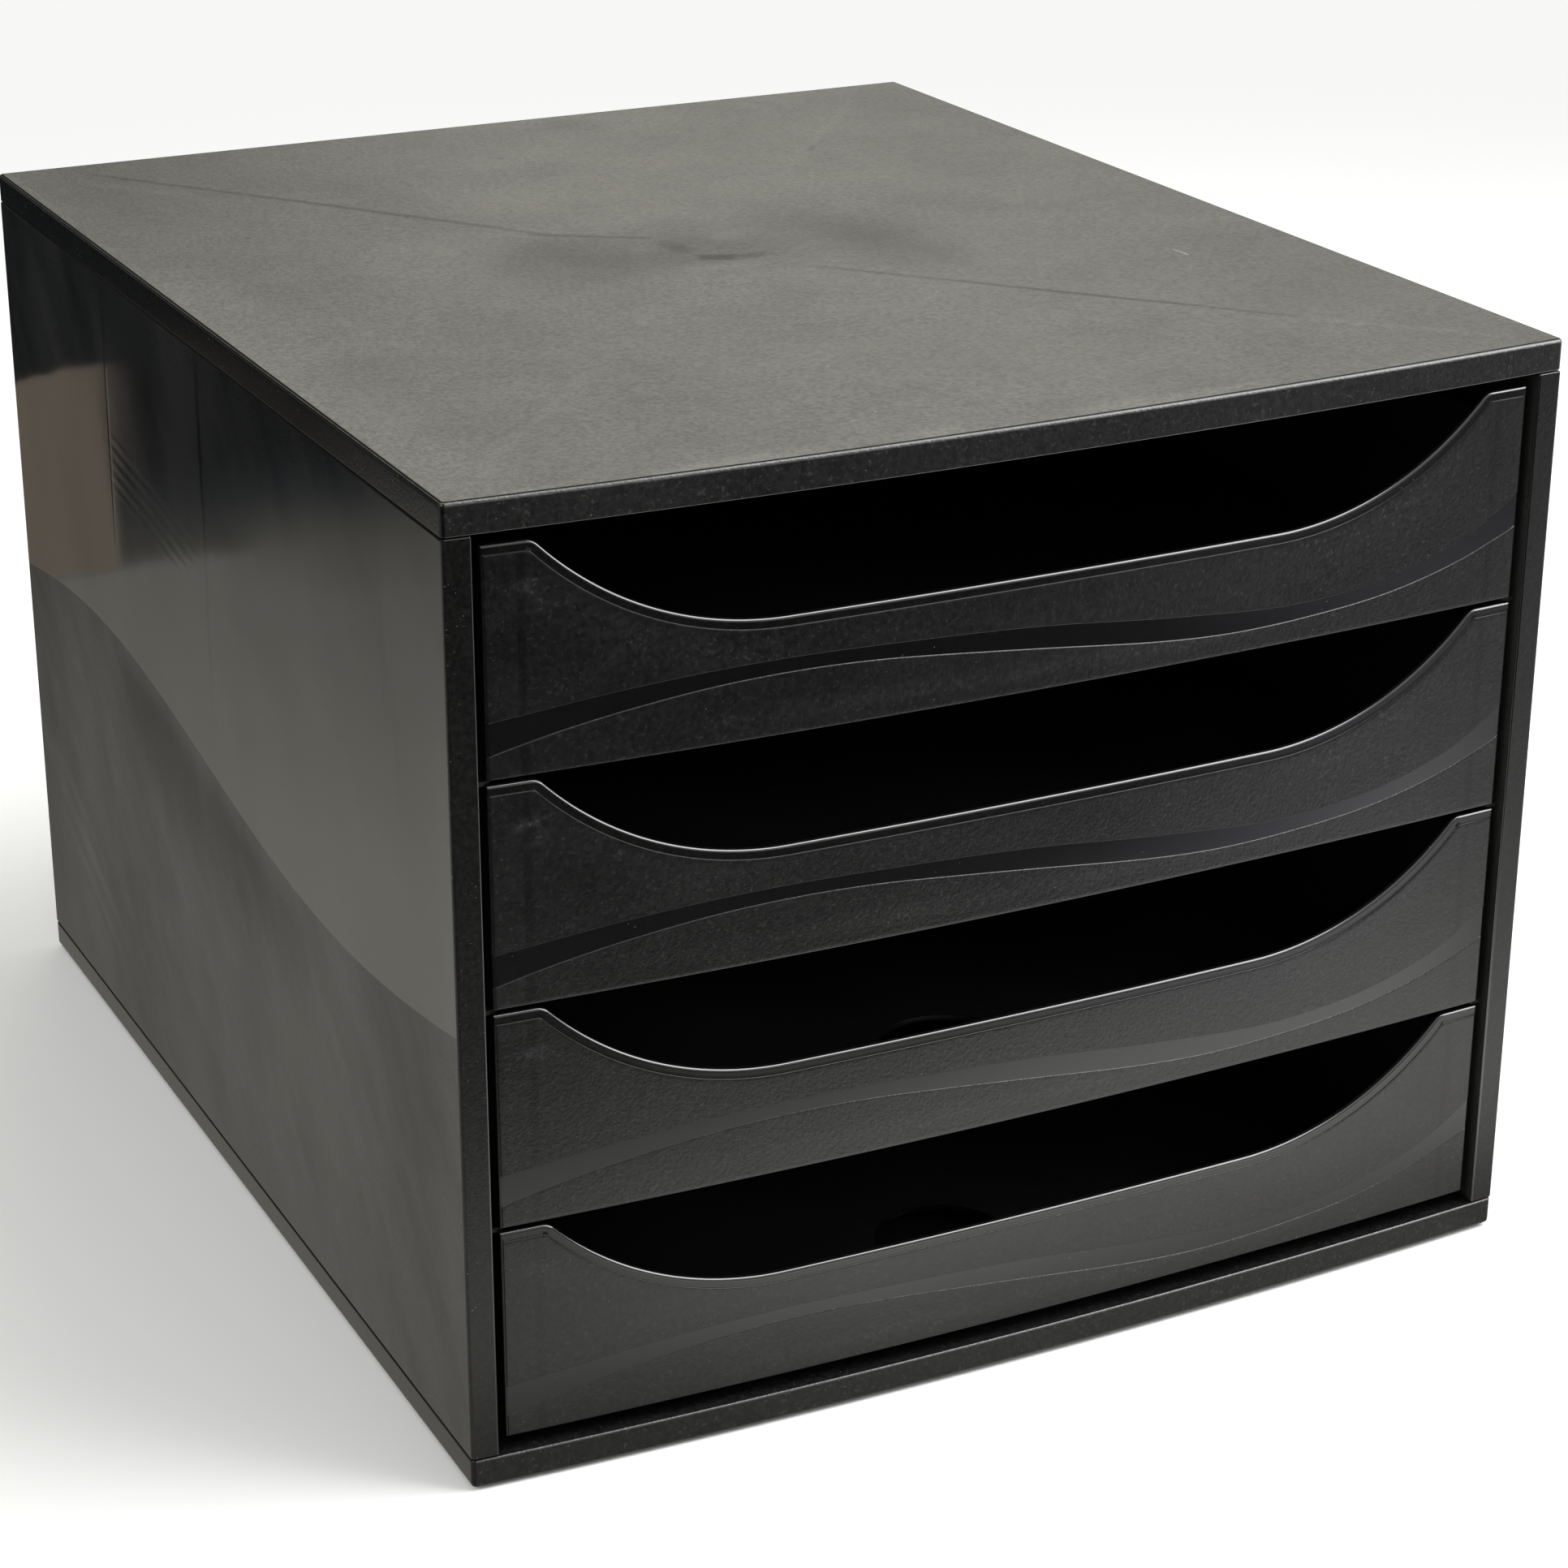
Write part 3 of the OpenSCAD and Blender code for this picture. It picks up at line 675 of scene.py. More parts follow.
# the top rounding gets the brighter, shinier copy, painted highlight; the end faces the darker copy, partly painted
# shade
for k in range(len(ids) - 1):
    turned = prof[k][1] > BASE_TOP - 0.56 and prof[k + 1][0] < 0.5
    s.band(ids[k], ids[k + 1], lambda i: 1 if abs(s.v[ids[k][i]][0]) > W2 - 0.75 else (2 if turned else 0))
s.face(list(reversed(ids[0])), 0)
s.face(ids[-1], 0)
for sx in (-1, 1):
    for y in (-138, 146):
        s.lathe(sx * 120, y, [(7.7, BASE_Z + 0.05), (8, BASE_Z + 0.4), (8, BASE_TOP - 2.0)], 48)
    x0, x1 = sorted((sx * 130.4, sx * 133.0))
    s.box(x0, x1, -140, 160, BASE_TOP - 0.6, 11.1, 0.3)
    x0, x1 = sorted((sx * 132.9, sx * 134.6))
    s.box(x0, x1, -140, 160, BASE_TOP - 0.6, 15.1, 0.3)
for y in (-110, -55, 0, 55, 110):
    s.box(-140.5, 140.5, y - 0.7, y + 0.7, BASE_TOP - 5.2, BASE_TOP - 2.1, 0.25)
for x in (-70, 0, 70):
    s.box(x - 0.7, x + 0.7, -160, 167.5, BASE_TOP - 5.2, BASE_TOP - 2.1, 0.25)
put("base_shell", s.mesh("base_shell"), [edge_matt, edge_side, edge_painted_highlight], "housing", ["base"])

# -------------------------------------------------------------------- feet
for name, sx, y in (("front_left", -1, -138), ("front_right", 1, -138), ("back_left", -1, 146), ("back_right", 1, 146)):
    s = Solid()
    s.lathe(sx * 120, y, [(5.3, 0.0), (5.65, 0.08), (5.9, 0.3), (6.0, 0.6), (6.0, 1.9), (5.8, 2.0)], 48)
    put("foot_pad_" + name, s.mesh("foot_pad_" + name), [rubber], "housing", ["foot_" + name])


# ------------------------------------------------------------- side panels
def rounded(poly, seg=4):
    """poly is (x, y, r, tag); returns [(x, y, tag)] with rounded corners. tag belongs to the edge that follows a corner"""
    out = []
    n = len(poly)
    for i, (x, y, r, tag) in enumerate(poly):
        px, py = poly[i - 1][0], poly[i - 1][1]
        nx, ny = poly[(i + 1) % n][0], poly[(i + 1) % n][1]
        if r <= 0:
            out.append((x, y, tag))
            continue
        a = Vector((px - x, py - y)).normalized()
        b = Vector((nx - x, ny - y)).normalized()
        half = a.angle(b) / 2
        t = r / math.tan(half)
        p0, p1 = Vector((x, y)) + a * t, Vector((x, y)) + b * t
        c = Vector((x, y)) + (a + b).normalized() * (r / math.sin(half))
        v0, v1 = p0 - c, p1 - c
        for k in range(seg + 1):
            q = v0.lerp(v1, k / seg).normalized() * r
            out.append((c.x + q.x, c.y + q.y, tag if k == seg else "r"))
    return out


def side(sx):
    s = Solid()
    fyo, fyi = front_y(W2), front_y(135.4)
    poly = [(W2, fyo, 0.8, "outer"), (W2, D2, 0.9, ""), (W2 - 7.6, D2, 0.4, ""), (W2 - 7.6, D2 - 1.4, 0.2, ""),
            (W2 - 4, D2 - 1.4, 0, ""), (W2 - 4, D2 - 4, 0, ""), (W2 - 7.6, D2 - 4, 0.2, ""), (W2 - 7.6, D2 - 6.2, 0.3, ""),
            (W2 - 2.5, D2 - 6.2, 0.3, ""), (W2 - 2.5, fyo + 3.0, 0, ""), (137.2, fyi + 3.2, 0, ""), (137.2, -152, 0.3, ""),
            (135.4, -152, 0.3, ""), (135.4, fyi, 0.45, "strip")]
    pts = rounded(poly)
    # split the outer face into columns so that the wave is a smooth curve
    outline = []
    for i, (x, y, tag) in enumerate(pts):
        outline.append((x, y, tag))
        if tag == "outer":
            x1, y1, _ = pts[(i + 1) % len(pts)]
            for k in range(1, 96):
                outline.append((x, y + (y1 - y) * k / 96, "outer"))
    n = len(outline)
    cx = 137.0

    def ring(z, inset, wave=None):
        r = []
        for i, (x, y, tag) in enumerate(outline):
            px, py, _ = outline[i - 1]
            nx, ny, _ = outline[(i + 1) % n]
            t = Vector((nx - px, ny - py)).normalized()
            ox, oy = x - t.y * inset, y + t.x * inset       # ccw outline: inwards is to the left
            zz = z
            if wave is not None:
                zz = side_wave(y) + wave if x > W2 - 0.001 or tag == "outer" or x > W2 - 0.9 else z
            r.append((sx * ox, oy, zz))
        return r
    z0, z1 = BASE_TOP + 0.1, COVER_Z - 0.1
    rows = [(z0, 0.42, None), (z0 + 0.12, 0.16, None), (z0 + 0.42, 0.0, None), (60.0, 0.0, None), (118.0, 0.0, 0.0), (118.6, 0.0, 0.6), (170.0, 0.0, None),
            (z1 - 0.42, 0.0, None), (z1 - 0.12, 0.16, None), (z1, 0.42, None)]
    ids = [s.add(ring(*r)) for r in rows]

    # the top and bottom roundings, at the partings with cover and base, get a darker copy: painted shade in the
    # grooves; at the front a glossier one
    def mat_of(row):
        def f(i):
            x, y, tag = outline[i]
            front_part = tag == "strip" or (y < -163.5 and x < W2 - 0.9)
            if row < 2 or (row > 6 and not front_part):
                return 3
            if front_part and (row > 6 or (tag == "r" and x < 136.5)):
                return 4
            if tag == "outer":
                return 0 if row >= 4 else 1
            if tag == "strip" or (tag == "r" and y < -150 and x < W2 - 0.9):
                return 2
            return 2 if y < -163.5 else 1
        return f
    for k in range(len(ids) - 1):
        s.band(ids[k], ids[k + 1], mat_of(k))
    s.face(list(reversed(ids[0])), 1)
    s.face(ids[-1], 1)

    def bx(x0, x1, *rest, **kw):
        a, b = sorted((sx * x0, sx * x1))
        s.box(a, b, *rest, **kw)
    # rails, ledges with their guides, tongues and tabs
    bx(137.0, 139.7, -151.9, 162.7, COVER_Z - 5, COVER_Z - 0.2, r=0.3, m=1)
    bx(137.0, 139.7, -151.9, 162.7, BASE_TOP + 0.2, BASE_TOP + 2.5, r=0.3, m=1)
    for k in (1, 2, 3):
        top = FIRST_Z + k * PITCH - 0.9
        out = [(139.7, -160.8), (133.4, -160.8)]
        out += [(133.4 + 3 * c, -157.8 + 3 * sn) for c, sn in arc_pts(8, -90, -180)][1:]
        out += [(130.4, 159.7), (130.7, 160.0), (139.7, 160.0)]
        rr = [(0.25, top - 1.2), (0.0, top - 0.95), (0.0, top - 0.25), (0.08, top - 0.07), (0.25, top)]
        rings = []
        for i, z in rr:
            ring_pts = []
            for x, y in out:
                xx = max(x, 130.4 + i) if x < 139 else x
                yy = min(max(y, -160.8 + i), 160 - i)
                if x < 133.4 and y < -157.8:
                    d = Vector((x - 133.4, y + 157.8)).normalized() * (3 - i)
                    xx, yy = 133.4 + d.x, -157.8 + d.y
                ring_pts.append((sx * xx, yy, z))
            rings.append(ring_pts)
        s.loft(rings, 1)
        bx(133.1, 134.6, -145, 160, top - 0.3, top + 4, r=0.3, m=1)
    for y in (-120, 0, 130):
        bx(137.2, 139.2, y - 12, y + 12, COVER_Z - 0.5, COVER_Z + 4.5, r=0.4, m=1)
        bx(136.9, 139.1, y - 11.7, y + 11.7, BASE_TOP - 4, BASE_TOP + 0.5, r=0.3, m=1)
    return s


for sx, nm in ((-1, "left"), (1, "right")):
    put("side_shell_" + nm, side(sx).mesh("side_shell_" + nm), [side_gloss, side_matt, strip_satin, edge_painted_shade, edge_line], "housing", ["side_panel_" + nm])

# -------------------------------------------------------------- back panel
s = Solid()
s.box(-137.8, 137.8, D2 - 3.8, D2 - 1.6, BASE_TOP + 0.05, COVER_Z - 0.05, 0.3)
for x in (-90, -45, 0, 45, 90):
    s.box(x - 0.7, x + 0.7, D2 - 5.6, D2 - 3.6, BASE_TOP + 4, COVER_Z - 4, 0.3)
put("back_sheet", s.mesh("back_sheet"), [back_matt], "housing", ["back_panel"])


# ------------------------------------------------------------------ drawers
def scoop_line(w):
    """points (x, z) of the front's top edge moved in by w, from left to right, always the same number"""
    cz, tz = SCOOP_Z + SCOOP_R, FRONT_H - TIP_R
    reach = SCOOP_R + TIP_R
    tx = SCOOP_X + math.sqrt(reach ** 2 - (cz - tz) ** 2)
    a = math.degrees(math.atan2(cz - tz, tx - SCOOP_X))
    half = [(SCOOP_X * k / 12, SCOOP_Z - w) for k in range(12)]
    half += [(SCOOP_X + (SCOOP_R + w) * c, cz + (SCOOP_R + w) * sn) for c, sn in arc_pts(30, -90, -a)]
    half += [(tx + (TIP_R - w) * c, tz + (TIP_R - w) * sn) for c, sn in arc_pts(8, 180 - a, 90)][1:]
    end = 133.0
    half += [(tx + (end - tx) * k / 4, FRONT_H - w) for k in range(1, 5)]
    return [(-x, z) for x, z in reversed(half[1:])] + half


def drawer_front(s):
    """the front plate. material 0 is the matt face, 1 the glossy wave, 2 the smooth edge and back"""
    base = scoop_line(0.0)
    n = len(base)
    # the end columns carry the roundings of the two ends
    xe = [(133.0, 2.0), (132.93, 1.83), (132.8, 1.72), (132.62, 1.7)]

    def cols(row_xz, level, pad):
        """one row: (x, z) for every column, with the level (inset) at each, rounded off at the ends"""
        left = []
        inner = row_xz[1:-1]
        z_l, z_r = row_xz[0][1], row_xz[-1][1]
        lim = 132.2 if pad else 132.5
        pts = [(-x, z_l, max(level, d)) for x, d in xe]
        if pad:
            pts += [(-132.5, z_l, max(level, 1.62)), (-132.42, z_l, max(level, 1.46)), (-132.25, z_l, max(level, 1.4))]
        else:
            pts += [(-132.5, z_l, max(level, 1.7)), (-132.42, z_l, max(level, 1.7)), (-132.25, z_l, max(level, 1.7))]
        pts += [(x, z, level) for x, z in inner if abs(x) < 132.0]
        r = [(132.25, z_r, max(level, 1.4 if pad else 1.7)), (132.42, z_r, max(level, 1.46 if pad else 1.7)), (132.5, z_r, max(level, 1.62 if pad else 1.7))]
        r += [(x, z_r, max(level, d)) for x, d in reversed(xe)]
        return pts + r

    rows = []          # (points, material of the band below it)

    def row(w, level, m, pad=False):
        rows.append((cols(scoop_line(w), level, pad), m))
    row(0.35, 3.3, 2)
    row(0.10, 3.22, 2)
    row(0.0, 3.0, 2)
    row(0.0, 2.8, 4)
    for c, sn in arc_pts(9, 90, 0)[1:-1]:
        row(0.8 * (1 - sn), 1.7 + 0.8 * (1 - c), 4)
    row(0.8, 1.7, 2)
    row(1.25, 1.7, 2)
    row(2.2, 1.7, 2)
    row(2.33, 1.64, 0, True)
    row(2.41, 1.46, 0, True)
    row(2.6, 1.4, 0, True)
    row(3.3, 1.4, 0, True)
    edge = scoop_line(3.3)

    def zrow(f, level, m):
        rows.append((cols([(x, f(x)) for x, _ in edge], level, True), m))
    g = 0.16
    top = lambda x: curve_at(WAVE_TOP, x)
    low = lambda x: curve_at(WAVE_LOW, x)
    zrow(lambda x: top(x) + 0.7, 1.4, 0)
    zrow(lambda x: top(x) + 0.06, 1.4, 1)
    zrow(lambda x: top(x) - 0.10, 1.4 + g, 1)
    zrow(lambda x: top(x) - 0.6, 1.4 + g, 1)
    zrow(lambda x: low(x) + 0.6, 1.4 + g, 1)
    zrow(lambda x: low(x) + 0.14, 1.4 + g, 0)
    zrow(lambda x: low(x) - 0.02, 1.42, 0)
    zrow(lambda x: low(x) - 0.14, 1.4, 0)
    zrow(lambda x: low(x) - 0.8, 1.4, 0)
    zrow(lambda x: 1.2, 1.4, 0)
    zrow(lambda x: 0.5, 1.4, 0)
    zrow(lambda x: 0.17, 1.5, 0)
    zrow(lambda x: 0.03, 1.68, 0)
    zrow(lambda x: 0.0, 1.95, 2)
    zrow(lambda x: 0.0, 3.05, 2)
    zrow(lambda x: 0.2, 3.3, 2)
    ids = []
    for pts, m in rows:
        ids.append(s.add([(x, front_y(x, lv), z) for x, z, lv in pts]))
    for k in range(len(ids)):
        a, b = ids[k], ids[(k + 1) % len(ids)]
        s.band(a, b, rows[k][1], closed=False)
    # ends
    s.face([r[0] for r in ids], 2)
    s.face([r[-1] for r in reversed(ids)], 2)


def tray_mesh():
    """floor and walls behind the front"""
    o = Solid()
    H = 43.0
    rings = [(1.2, -0.6), (0.6, -0.44), (0.16, 0.0), (0.0, 0.6), (0.0, 20.0), (0.0, H - 0.5), (0.15, H - 0.15), (0.5, H)]
    o.loft([at(plan(132.6 - i, 158 - i, 3.26 + i * 0, 0.3, 3.2 - i), z) for i, z in rings])
    outer = o.mesh("tray_outer")
    c = Solid()
    rin = [(1.8 + 2.5, 1.2), (1.8 + 1.5, 1.41), (1.8 + 0.73, 1.93), (1.8 + 0.17, 2.77), (1.8, 3.7), (1.8, 20.0), (1.8, H - 0.5), (1.65, H - 0.15), (1.3, H), (1.3, H + 8)]
    c.loft([at(plan(132.6 - i, 158 - i, 0.0, 0.3, 6.0 - i if i < 5 else 1.0), z) for i, z in rin])
    inner = c.mesh("tray_inner")
    h = Solid()
    h.lathe(0, -128, [(17.9, -3.0), (17.9, -0.9), (17.35, -0.6), (17.1, -0.35), (17.0, -0.05), (17.0, 0.95), (17.06, 1.12), (17.2, 1.2), (17.25, 1.5), (17.25, 4.0)], 96)
    hole = h.mesh("tray_hole")
    nb = Solid()
    cyl = []
    for y in (150.0, 164.0):
        cyl.append([(22 * math.cos(2 * math.pi * i / 96), y, 53 + 22 * math.sin(2 * math.pi * i / 96)) for i in range(96)])
    nb.loft(cyl)
    notch = nb.mesh("tray_notch")
    return cut(outer, [inner, hole, notch])


tray = tray_mesh()
for n, k in ((1, 3), (2, 2), (3, 1), (4, 0)):
    s = Solid()
    drawer_front(s)
    for sx in (-1, 1):
        a, b = sorted((sx * 132.2, sx * 136.8))
        s.box(a, b, 98.5, 108.5, 8, 20, 0.5, m=2)
    base = s.add([(v.co.x / MM, v.co.y / MM, v.co.z / MM) for v in tray.vertices])
    # the walls of the push-out hole get the darker copy: painted shade inside the hole
    for p in tray.polygons:
        hole = math.hypot(p.center.x / MM, p.center.y / MM + 128.0)
        s.face([base[0] + i for i in p.vertices], 5 if 16.5 < hole < 17.6 and abs(p.normal.z) < 0.95 else 3)
    dz = FIRST_Z + k * PITCH
    s.v = [(x, y, z + dz) for x, y, z in s.v]
    put(f"drawer_shell_{n}", s.mesh(f"drawer_shell_{n}"), [front_matt, front_gloss, rim_gloss, tray_satin, rim_line, edge_painted_shade], f"drawer_{n}", [f"drawer_{n}"])
bpy.data.meshes.remove(tray)

# -------------------------------------------------------------------- stage
scene = bpy.context.scene


def plain_mat(name, color, rough=0.9):
    m, nt, b = tree(name)
    b.inputs["Base Color"].default_value = (*color, 1)
    b.inputs["Roughness"].default_value = rough
    b.inputs["Specular IOR Level"].default_value = 0.1
    return m


fm = bpy.data.meshes.new("floor")
fm.from_pydata([(-6, -6, 0), (6, -6, 0), (6, 6, 0), (-6, 6, 0)], [], [(0, 1, 2, 3)])
floor = bpy.data.objects.new("floor", fm)
scene.collection.objects.link(floor)
floor_mat = plain_mat("floor_white", (0.88, 0.88, 0.87))
nt = floor_mat.node_tree
N = Nodes(nt)
x, y, z = N.xyz()
reach = N.math("SQRT", N.math("ADD", N.math("MULTIPLY", x, x), N.math("MULTIPLY", y, y)))
glow_em = nt.nodes.new("ShaderNodeEmission")
glow_em.inputs["Color"].default_value = (1.0, 1.0, 0.985, 1)
glow_em.inputs["Strength"].default_value = 0.93
rays = nt.nodes.new("ShaderNodeLightPath")
blend = nt.nodes.new("ShaderNodeMixShader")
N.link(N.math("MULTIPLY", N.range(reach, 0.35, 1.5, 0.0, 1.0), rays.outputs["Is Camera Ray"]), blend.inputs[0])
old = [n for n in nt.nodes if n.type == "BSDF_PRINCIPLED"][0]
mat_out = [n for n in nt.nodes if n.type == "OUTPUT_MATERIAL"][0]
nt.links.new(old.outputs[0], blend.inputs[1])
nt.links.new(glow_em.outputs[0], blend.inputs[2])
nt.links.new(blend.outputs[0], mat_out.inputs[0])
fm.materials.append(floor_mat)

# what the glossy plastic sees of the table: bright close to the object, dark beyond it
cm = bpy.data.meshes.new("table_glow")
cm.from_pydata([(-3, -3, 0.0003), (3, -3, 0.0003), (3, 3, 0.0003), (-3, 3, 0.0003)], [], [(0, 1, 2, 3)])
card = bpy.data.objects.new("table_glow", cm)
scene.collection.objects.link(card)
gm = bpy.data.materials.new("table_glow")
gm.use_nodes = True
nt = gm.node_tree
nt.nodes.clear()
out = nt.nodes.new("ShaderNodeOutputMaterial")
em = nt.nodes.new("ShaderNodeEmission")
nt.links.new(em.outputs[0], out.inputs[0])
N = Nodes(nt)
x, y, z = N.xyz()
# in front of the object the lit table fades out along a slanting line
v = N.math("ADD", N.math("ADD", y, N.math("MULTIPLY", x, 0.25)), N.math("MULTIPLY", N.math("MAXIMUM", N.math("SUBTRACT", x, 0.22), 0.0), 0.35))
front = N.ramp(N.range(v, -0.55, -0.15, 0, 1, False), [(0.0, 0.0), (0.2, 0.02), (0.4, 0.06), (0.45, 0.22), (0.57, 0.67), (0.62, 0.88), (0.67, 1.18), (0.73, 1.44), (0.78, 1.58), (1.0, 1.6)])
far = N.math("MULTIPLY", N.range(x, 0.30, 0.46, 0.0, 0.36), N.range(y, -0.75, -0.6, 0.3, 1.0))
front = N.math("MAXIMUM", front, far)
# it is dimmer towards the right end and, close to the object, towards the left end
right_end = N.range(N.math("ADD", x, N.math("MULTIPLY", N.math("ADD", y, 0.29), 0.95)), 0.2, 0.3, 0.0, 0.62)
right_end = N.math("MULTIPLY", right_end, N.range(y, -0.3, -0.22, 1.0, 0.0))
left_end = N.math("MULTIPLY", N.range(x, -0.12, 0.0, 0.38, 0.0), N.range(y, -0.31, -0.22, 0.0, 1.0))
front = N.math("MULTIPLY", front, N.math("SUBTRACT", 1.0, N.math("ADD", right_end, left_end)))
# painted shadow: close to the object's front the table's glow is dimmed, for the object's soft contact shadow
front = N.math("MULTIPLY", front, N.range(y, -0.235, -0.175, 1.0, 0.4))
# beside and behind it the table is in the object's own soft shade and ends along a straight line
ax = N.math("ABSOLUTE", x)
beside = N.ramp(N.range(y, -0.2, 0.6, 0, 1, False), [(0.0, 0.62), (0.3, 0.62), (0.45, 0.57), (0.62, 0.44), (0.75, 0.37), (0.9, 0.32)])
beside = N.math("MULTIPLY", beside, N.range(ax, 0.15, 0.25, 0.72, 1.0))
# past the edge the floor of the room fades out, sharply near the screen and softly further to the left
past = N.range(y, 0.48, 0.63, 0, 1, False)
sharp_end = N.ramp(past, [(0.0, 1.0), (0.09, 1.0), (0.17, 0.47), (0.27, 0.3), (0.47, 0.2), (0.6, 0.15), (0.73, 0.1), (0.93, 0.07)])
soft_end = N.ramp(N.range(y, 0.42, 0.63, 0, 1, False), [(0.0, 1.0), (0.143, 0.86), (0.286, 0.77), (0.38, 0.68), (0.476, 0.53), (0.571, 0.36), (0.667, 0.23), (0.762, 0.16), (0.857, 0.11), (1.0, 0.07)])
soft = N.range(x, -0.34, -0.30, 1.0, 0.0)
end = N.math("ADD", N.math("MULTIPLY", soft_end, soft), N.math("MULTIPLY", sharp_end, N.math("SUBTRACT", 1.0, soft)))
beside = N.math("MULTIPLY", beside, end)
right = N.math("GREATER_THAN", x, 0.0)
side_of = N.math("ADD", N.math("MULTIPLY", right, N.range(y, -0.20, -0.165, 0, 1)), N.math("MULTIPLY", N.math("SUBTRACT", 1.0, right), N.range(y, -0.30, -0.165, 0, 1)))
side_of = N.math("MULTIPLY", N.math("GREATER_THAN", ax, 0.1395), side_of)
side_of = N.math("MAXIMUM", side_of, N.math("GREATER_THAN", y, 0.0))
L = N.math("ADD", N.math("MULTIPLY", front, N.math("SUBTRACT", 1.0, side_of)), N.math("MULTIPLY", beside, side_of))
tone_front = N.mix(N.math("MAXIMUM", N.range(v, -0.35, -0.24, 0, 1), N.range(x, 0.1, 0.24, 1, 0)), (0.935, 0.94, 1.09), (1.0, 0.99, 0.96))
tone_side = N.mix(N.range(y, 0.50, 0.60, 0, 1), (1.0, 0.975, 0.875), (0.82, 0.9, 1.0))
N.link(N.mix(side_of, tone_front, tone_side), em.inputs["Color"])
N.link(L, em.inputs["Strength"])
cm.materials.append(gm)
card.visible_camera = False
card.visible_diffuse = False
card.visible_transmission = False
card.visible_shadow = False

# a low brown screen that stands at the far edge of the table on the left
bm_ = bpy.data.meshes.new("brown_screen")
bm_.from_pydata([(-0.262, 0.50, 0.0005), (-0.15, 0.50, 0.0005), (-0.15, 0.50, 0.072), (-0.262, 0.50, 0.084)], [], [(0, 1, 2, 3)])
screen = bpy.data.objects.new("brown_screen", bm_)
scene.collection.objects.link(screen)
sm = bpy.data.materials.new("brown_screen")
sm.use_nodes = True
nt = sm.node_tree
nt.nodes.clear()
out = nt.nodes.new("ShaderNodeOutputMaterial")
em = nt.nodes.new("ShaderNodeEmission")
em.inputs["Color"].default_value = (0.30, 0.25, 0.195, 1)
em.inputs["Strength"].default_value = 1.0
nt.links.new(em.outputs[0], out.inputs[0])
bm_.materials.append(sm)
screen.visible_camera = False
screen.visible_diffuse = False
screen.visible_transmission = False
screen.visible_shadow = False

world = bpy.data.worlds.new("studio")
scene.world = world
world.use_nodes = True
wn = world.node_tree
wn.nodes.clear()
wout = wn.nodes.new("ShaderNodeOutputWorld")
bg = wn.nodes.new("ShaderNodeBackground")
wn.links.new(bg.outputs[0], wout.inputs[0])
N = Nodes(wn)
N.co = [o for o in wn.nodes if o.type == "TEX_COORD"][0].outputs["Generated"]
x, y, z = N.xyz()
# a bright wall behind the object, brightest a little to the right, a dimmer room around, a soft light overhead
wall = N.math("MULTIPLY", N.range(x, 0.1, 0.42, 0.0, 1.0), N.range(x, 0.42, 0.62, 1.0, 0.72))
wall = N.math("MULTIPLY", wall, N.range(y, 0.25, 0.6, 0, 1))
around = N.math("MAXIMUM", N.range(x, -0.5, -0.75, 0, 0.8), N.math("MULTIPLY", N.range(y, -0.2, -0.6, 0, 0.55), N.range(x, -0.6, 0.6, 0.8, 1.2)))
window = N.math("MULTIPLY", N.math("MULTIPLY", N.range(x, 0.18, 0.3, 0, 1), N.range(x, 0.6, 0.7, 1, 0)), N.math("MULTIPLY", N.range(z, 0.27, 0.33, 0, 1), N.range(z, 0.5, 0.56, 1, 0)))
wall = N.math("ADD", wall, N.math("MULTIPLY", N.math("MULTIPLY", window, N.range(y, 0.25, 0.6, 0, 1)), 2.6))
wall = N.math("MULTIPLY", wall, 0.65)
warm = N.math("GREATER_THAN", wall, 0.01)
wall = N.math("MAXIMUM", wall, around)
wall = N.math("MULTIPLY", wall, N.range(z, 0.0, 0.2, 0.2, 1))
wall = N.math("MULTIPLY", wall, N.range(z, 0.45, 0.8, 1, 0.5))
sky = N.math("MULTIPLY", N.range(z, 0.6, 0.9, 0, 1), 0.8)
total = N.math("ADD", wall, N.math("ADD", sky, 0.06))
lp = wn.nodes.new("ShaderNodeLightPath")
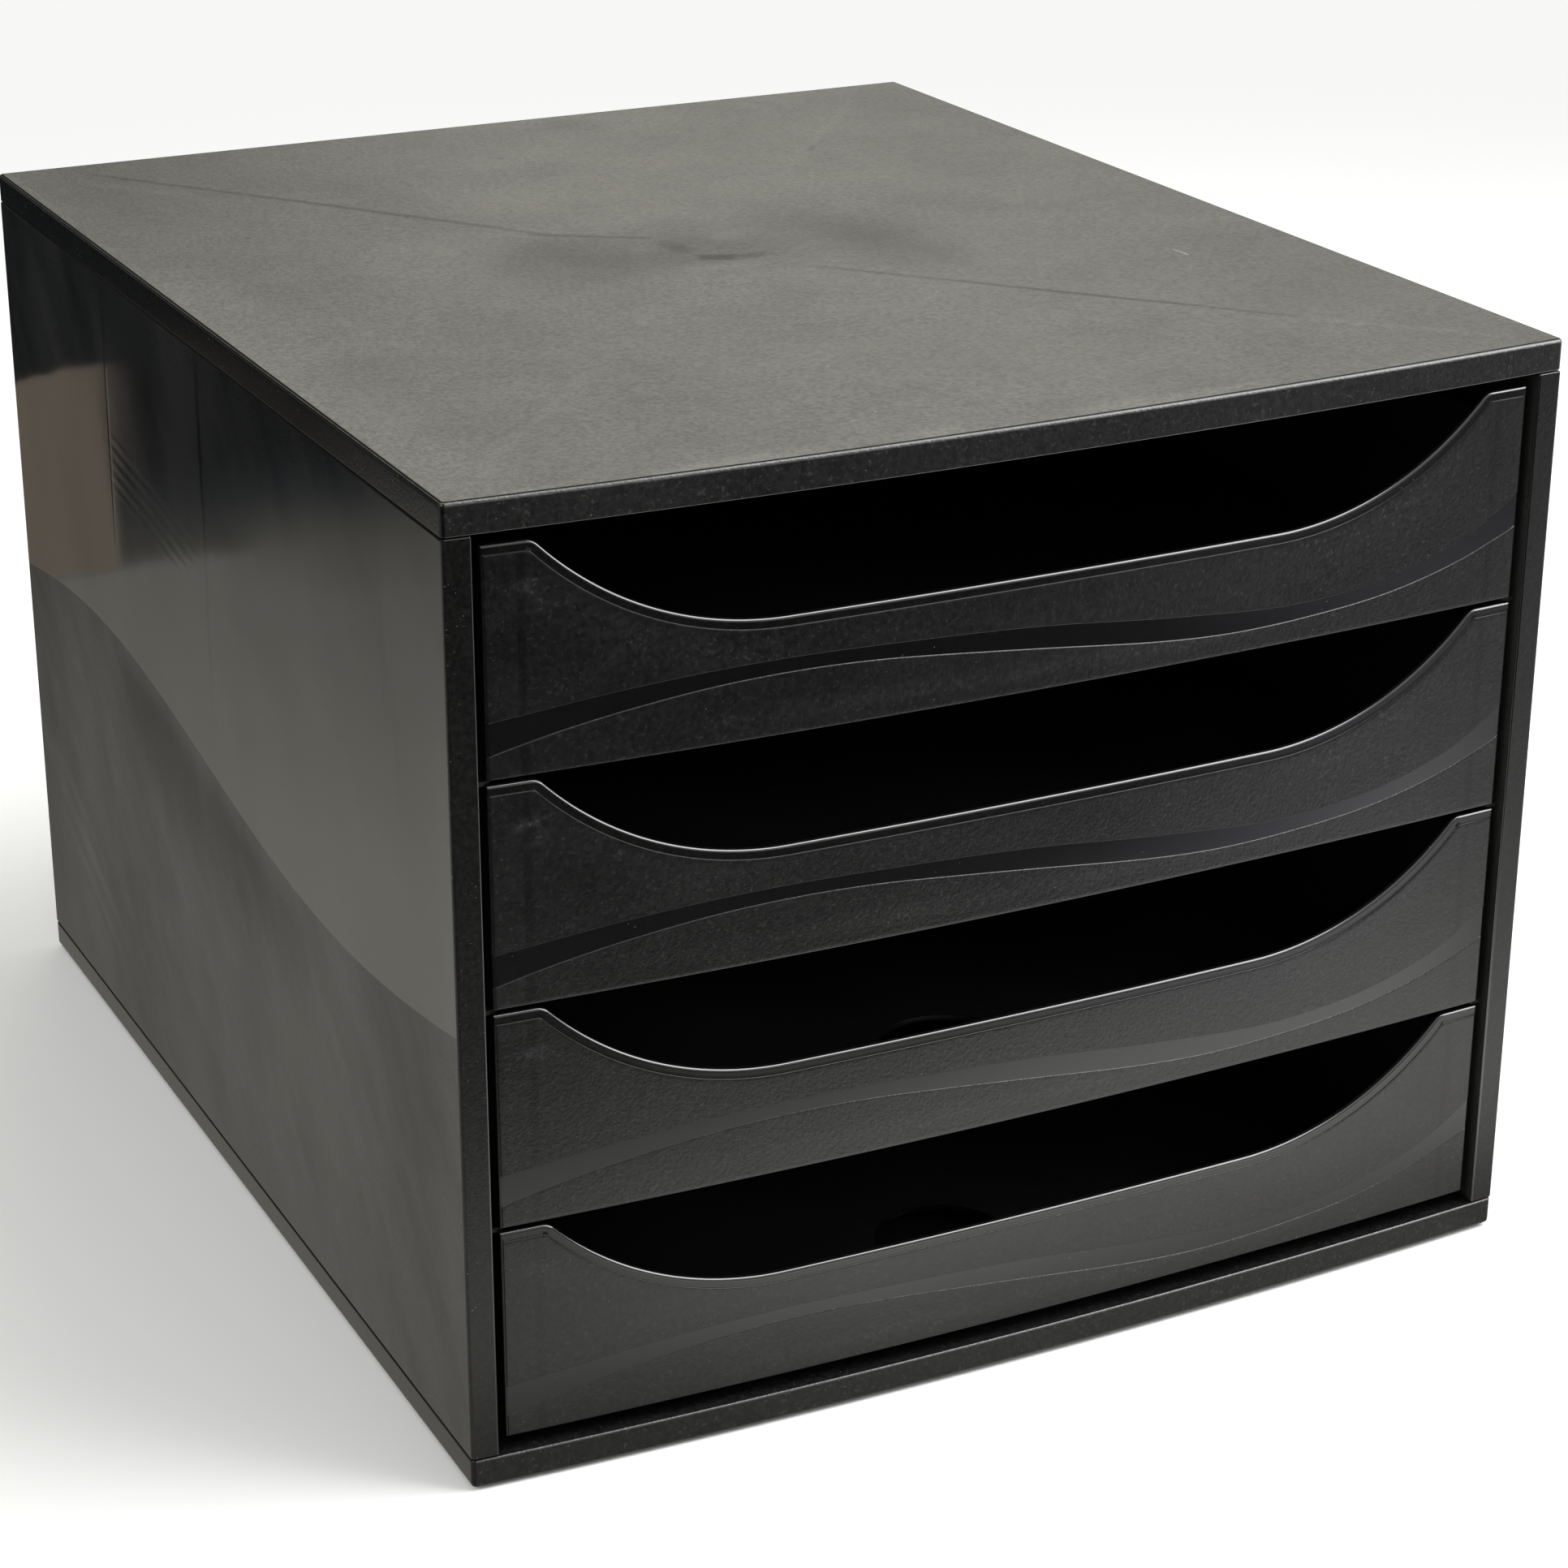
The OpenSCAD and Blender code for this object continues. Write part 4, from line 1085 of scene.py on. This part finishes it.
total = N.math("ADD", N.math("MULTIPLY", total, N.math("SUBTRACT", 1.0, lp.outputs["Is Camera Ray"])), N.math("MULTIPLY", lp.outputs["Is Camera Ray"], 0.93))
N.link(total, bg.inputs[1])
N.link(N.mix(N.math("MULTIPLY", warm, N.math("SUBTRACT", 1.0, lp.outputs["Is Camera Ray"])), (1.0, 1.0, 0.985), (1.0, 0.982, 0.85)), bg.inputs[0])


def area(name, loc, target, size, power, color=(1, 1, 1)):
    l = bpy.data.lights.new(name, "AREA")
    l.shape = "RECTANGLE"
    l.size, l.size_y = size
    l.energy = power
    l.color = color
    o = bpy.data.objects.new(name, l)
    scene.collection.objects.link(o)
    o.location = loc
    o.rotation_euler = (Vector(target) - Vector(loc)).to_track_quat("-Z", "Y").to_euler()
    return o


area("key", (1.24, -0.62, 1.42), (0, 0, 0.12), (1.5, 2.1), 62)
area("left_soft", (-1.8, -0.6, 1.5), (0, 0, 0.05), (1.0, 1.0), 18)

# ------------------------------------------------------------------- camera
AZ, EL, ROLL = math.radians(-25.800), math.radians(22.286), math.radians(-0.158)
F_PX, PP_X = 4554.3, 900.0
d = Vector((-math.sin(AZ) * math.cos(EL), math.cos(AZ) * math.cos(EL), -math.sin(EL)))
r = d.cross(Vector((0, 0, 1))).normalized()
u = r.cross(d)
r2 = math.cos(ROLL) * r + math.sin(ROLL) * u
u2 = -math.sin(ROLL) * r + math.cos(ROLL) * u
cam_data = bpy.data.cameras.new("photo_camera")
cam_data.sensor_width = 36.0
cam_data.lens = F_PX / 1932.0 * 36.0
cam_data.shift_x = (966.0 - PP_X) / 1932.0
cam_data.clip_start = 0.05
cam_data.clip_end = 50
cam = bpy.data.objects.new("photo_camera", cam_data)
scene.collection.objects.link(cam)
cam.matrix_world = Matrix(((r2.x, u2.x, -d.x, -0.40218), (r2.y, u2.y, -d.y, -0.83835), (r2.z, u2.z, -d.z, 0.47019), (0, 0, 0, 1)))
scene.camera = cam

scene.view_settings.view_transform = "Standard"
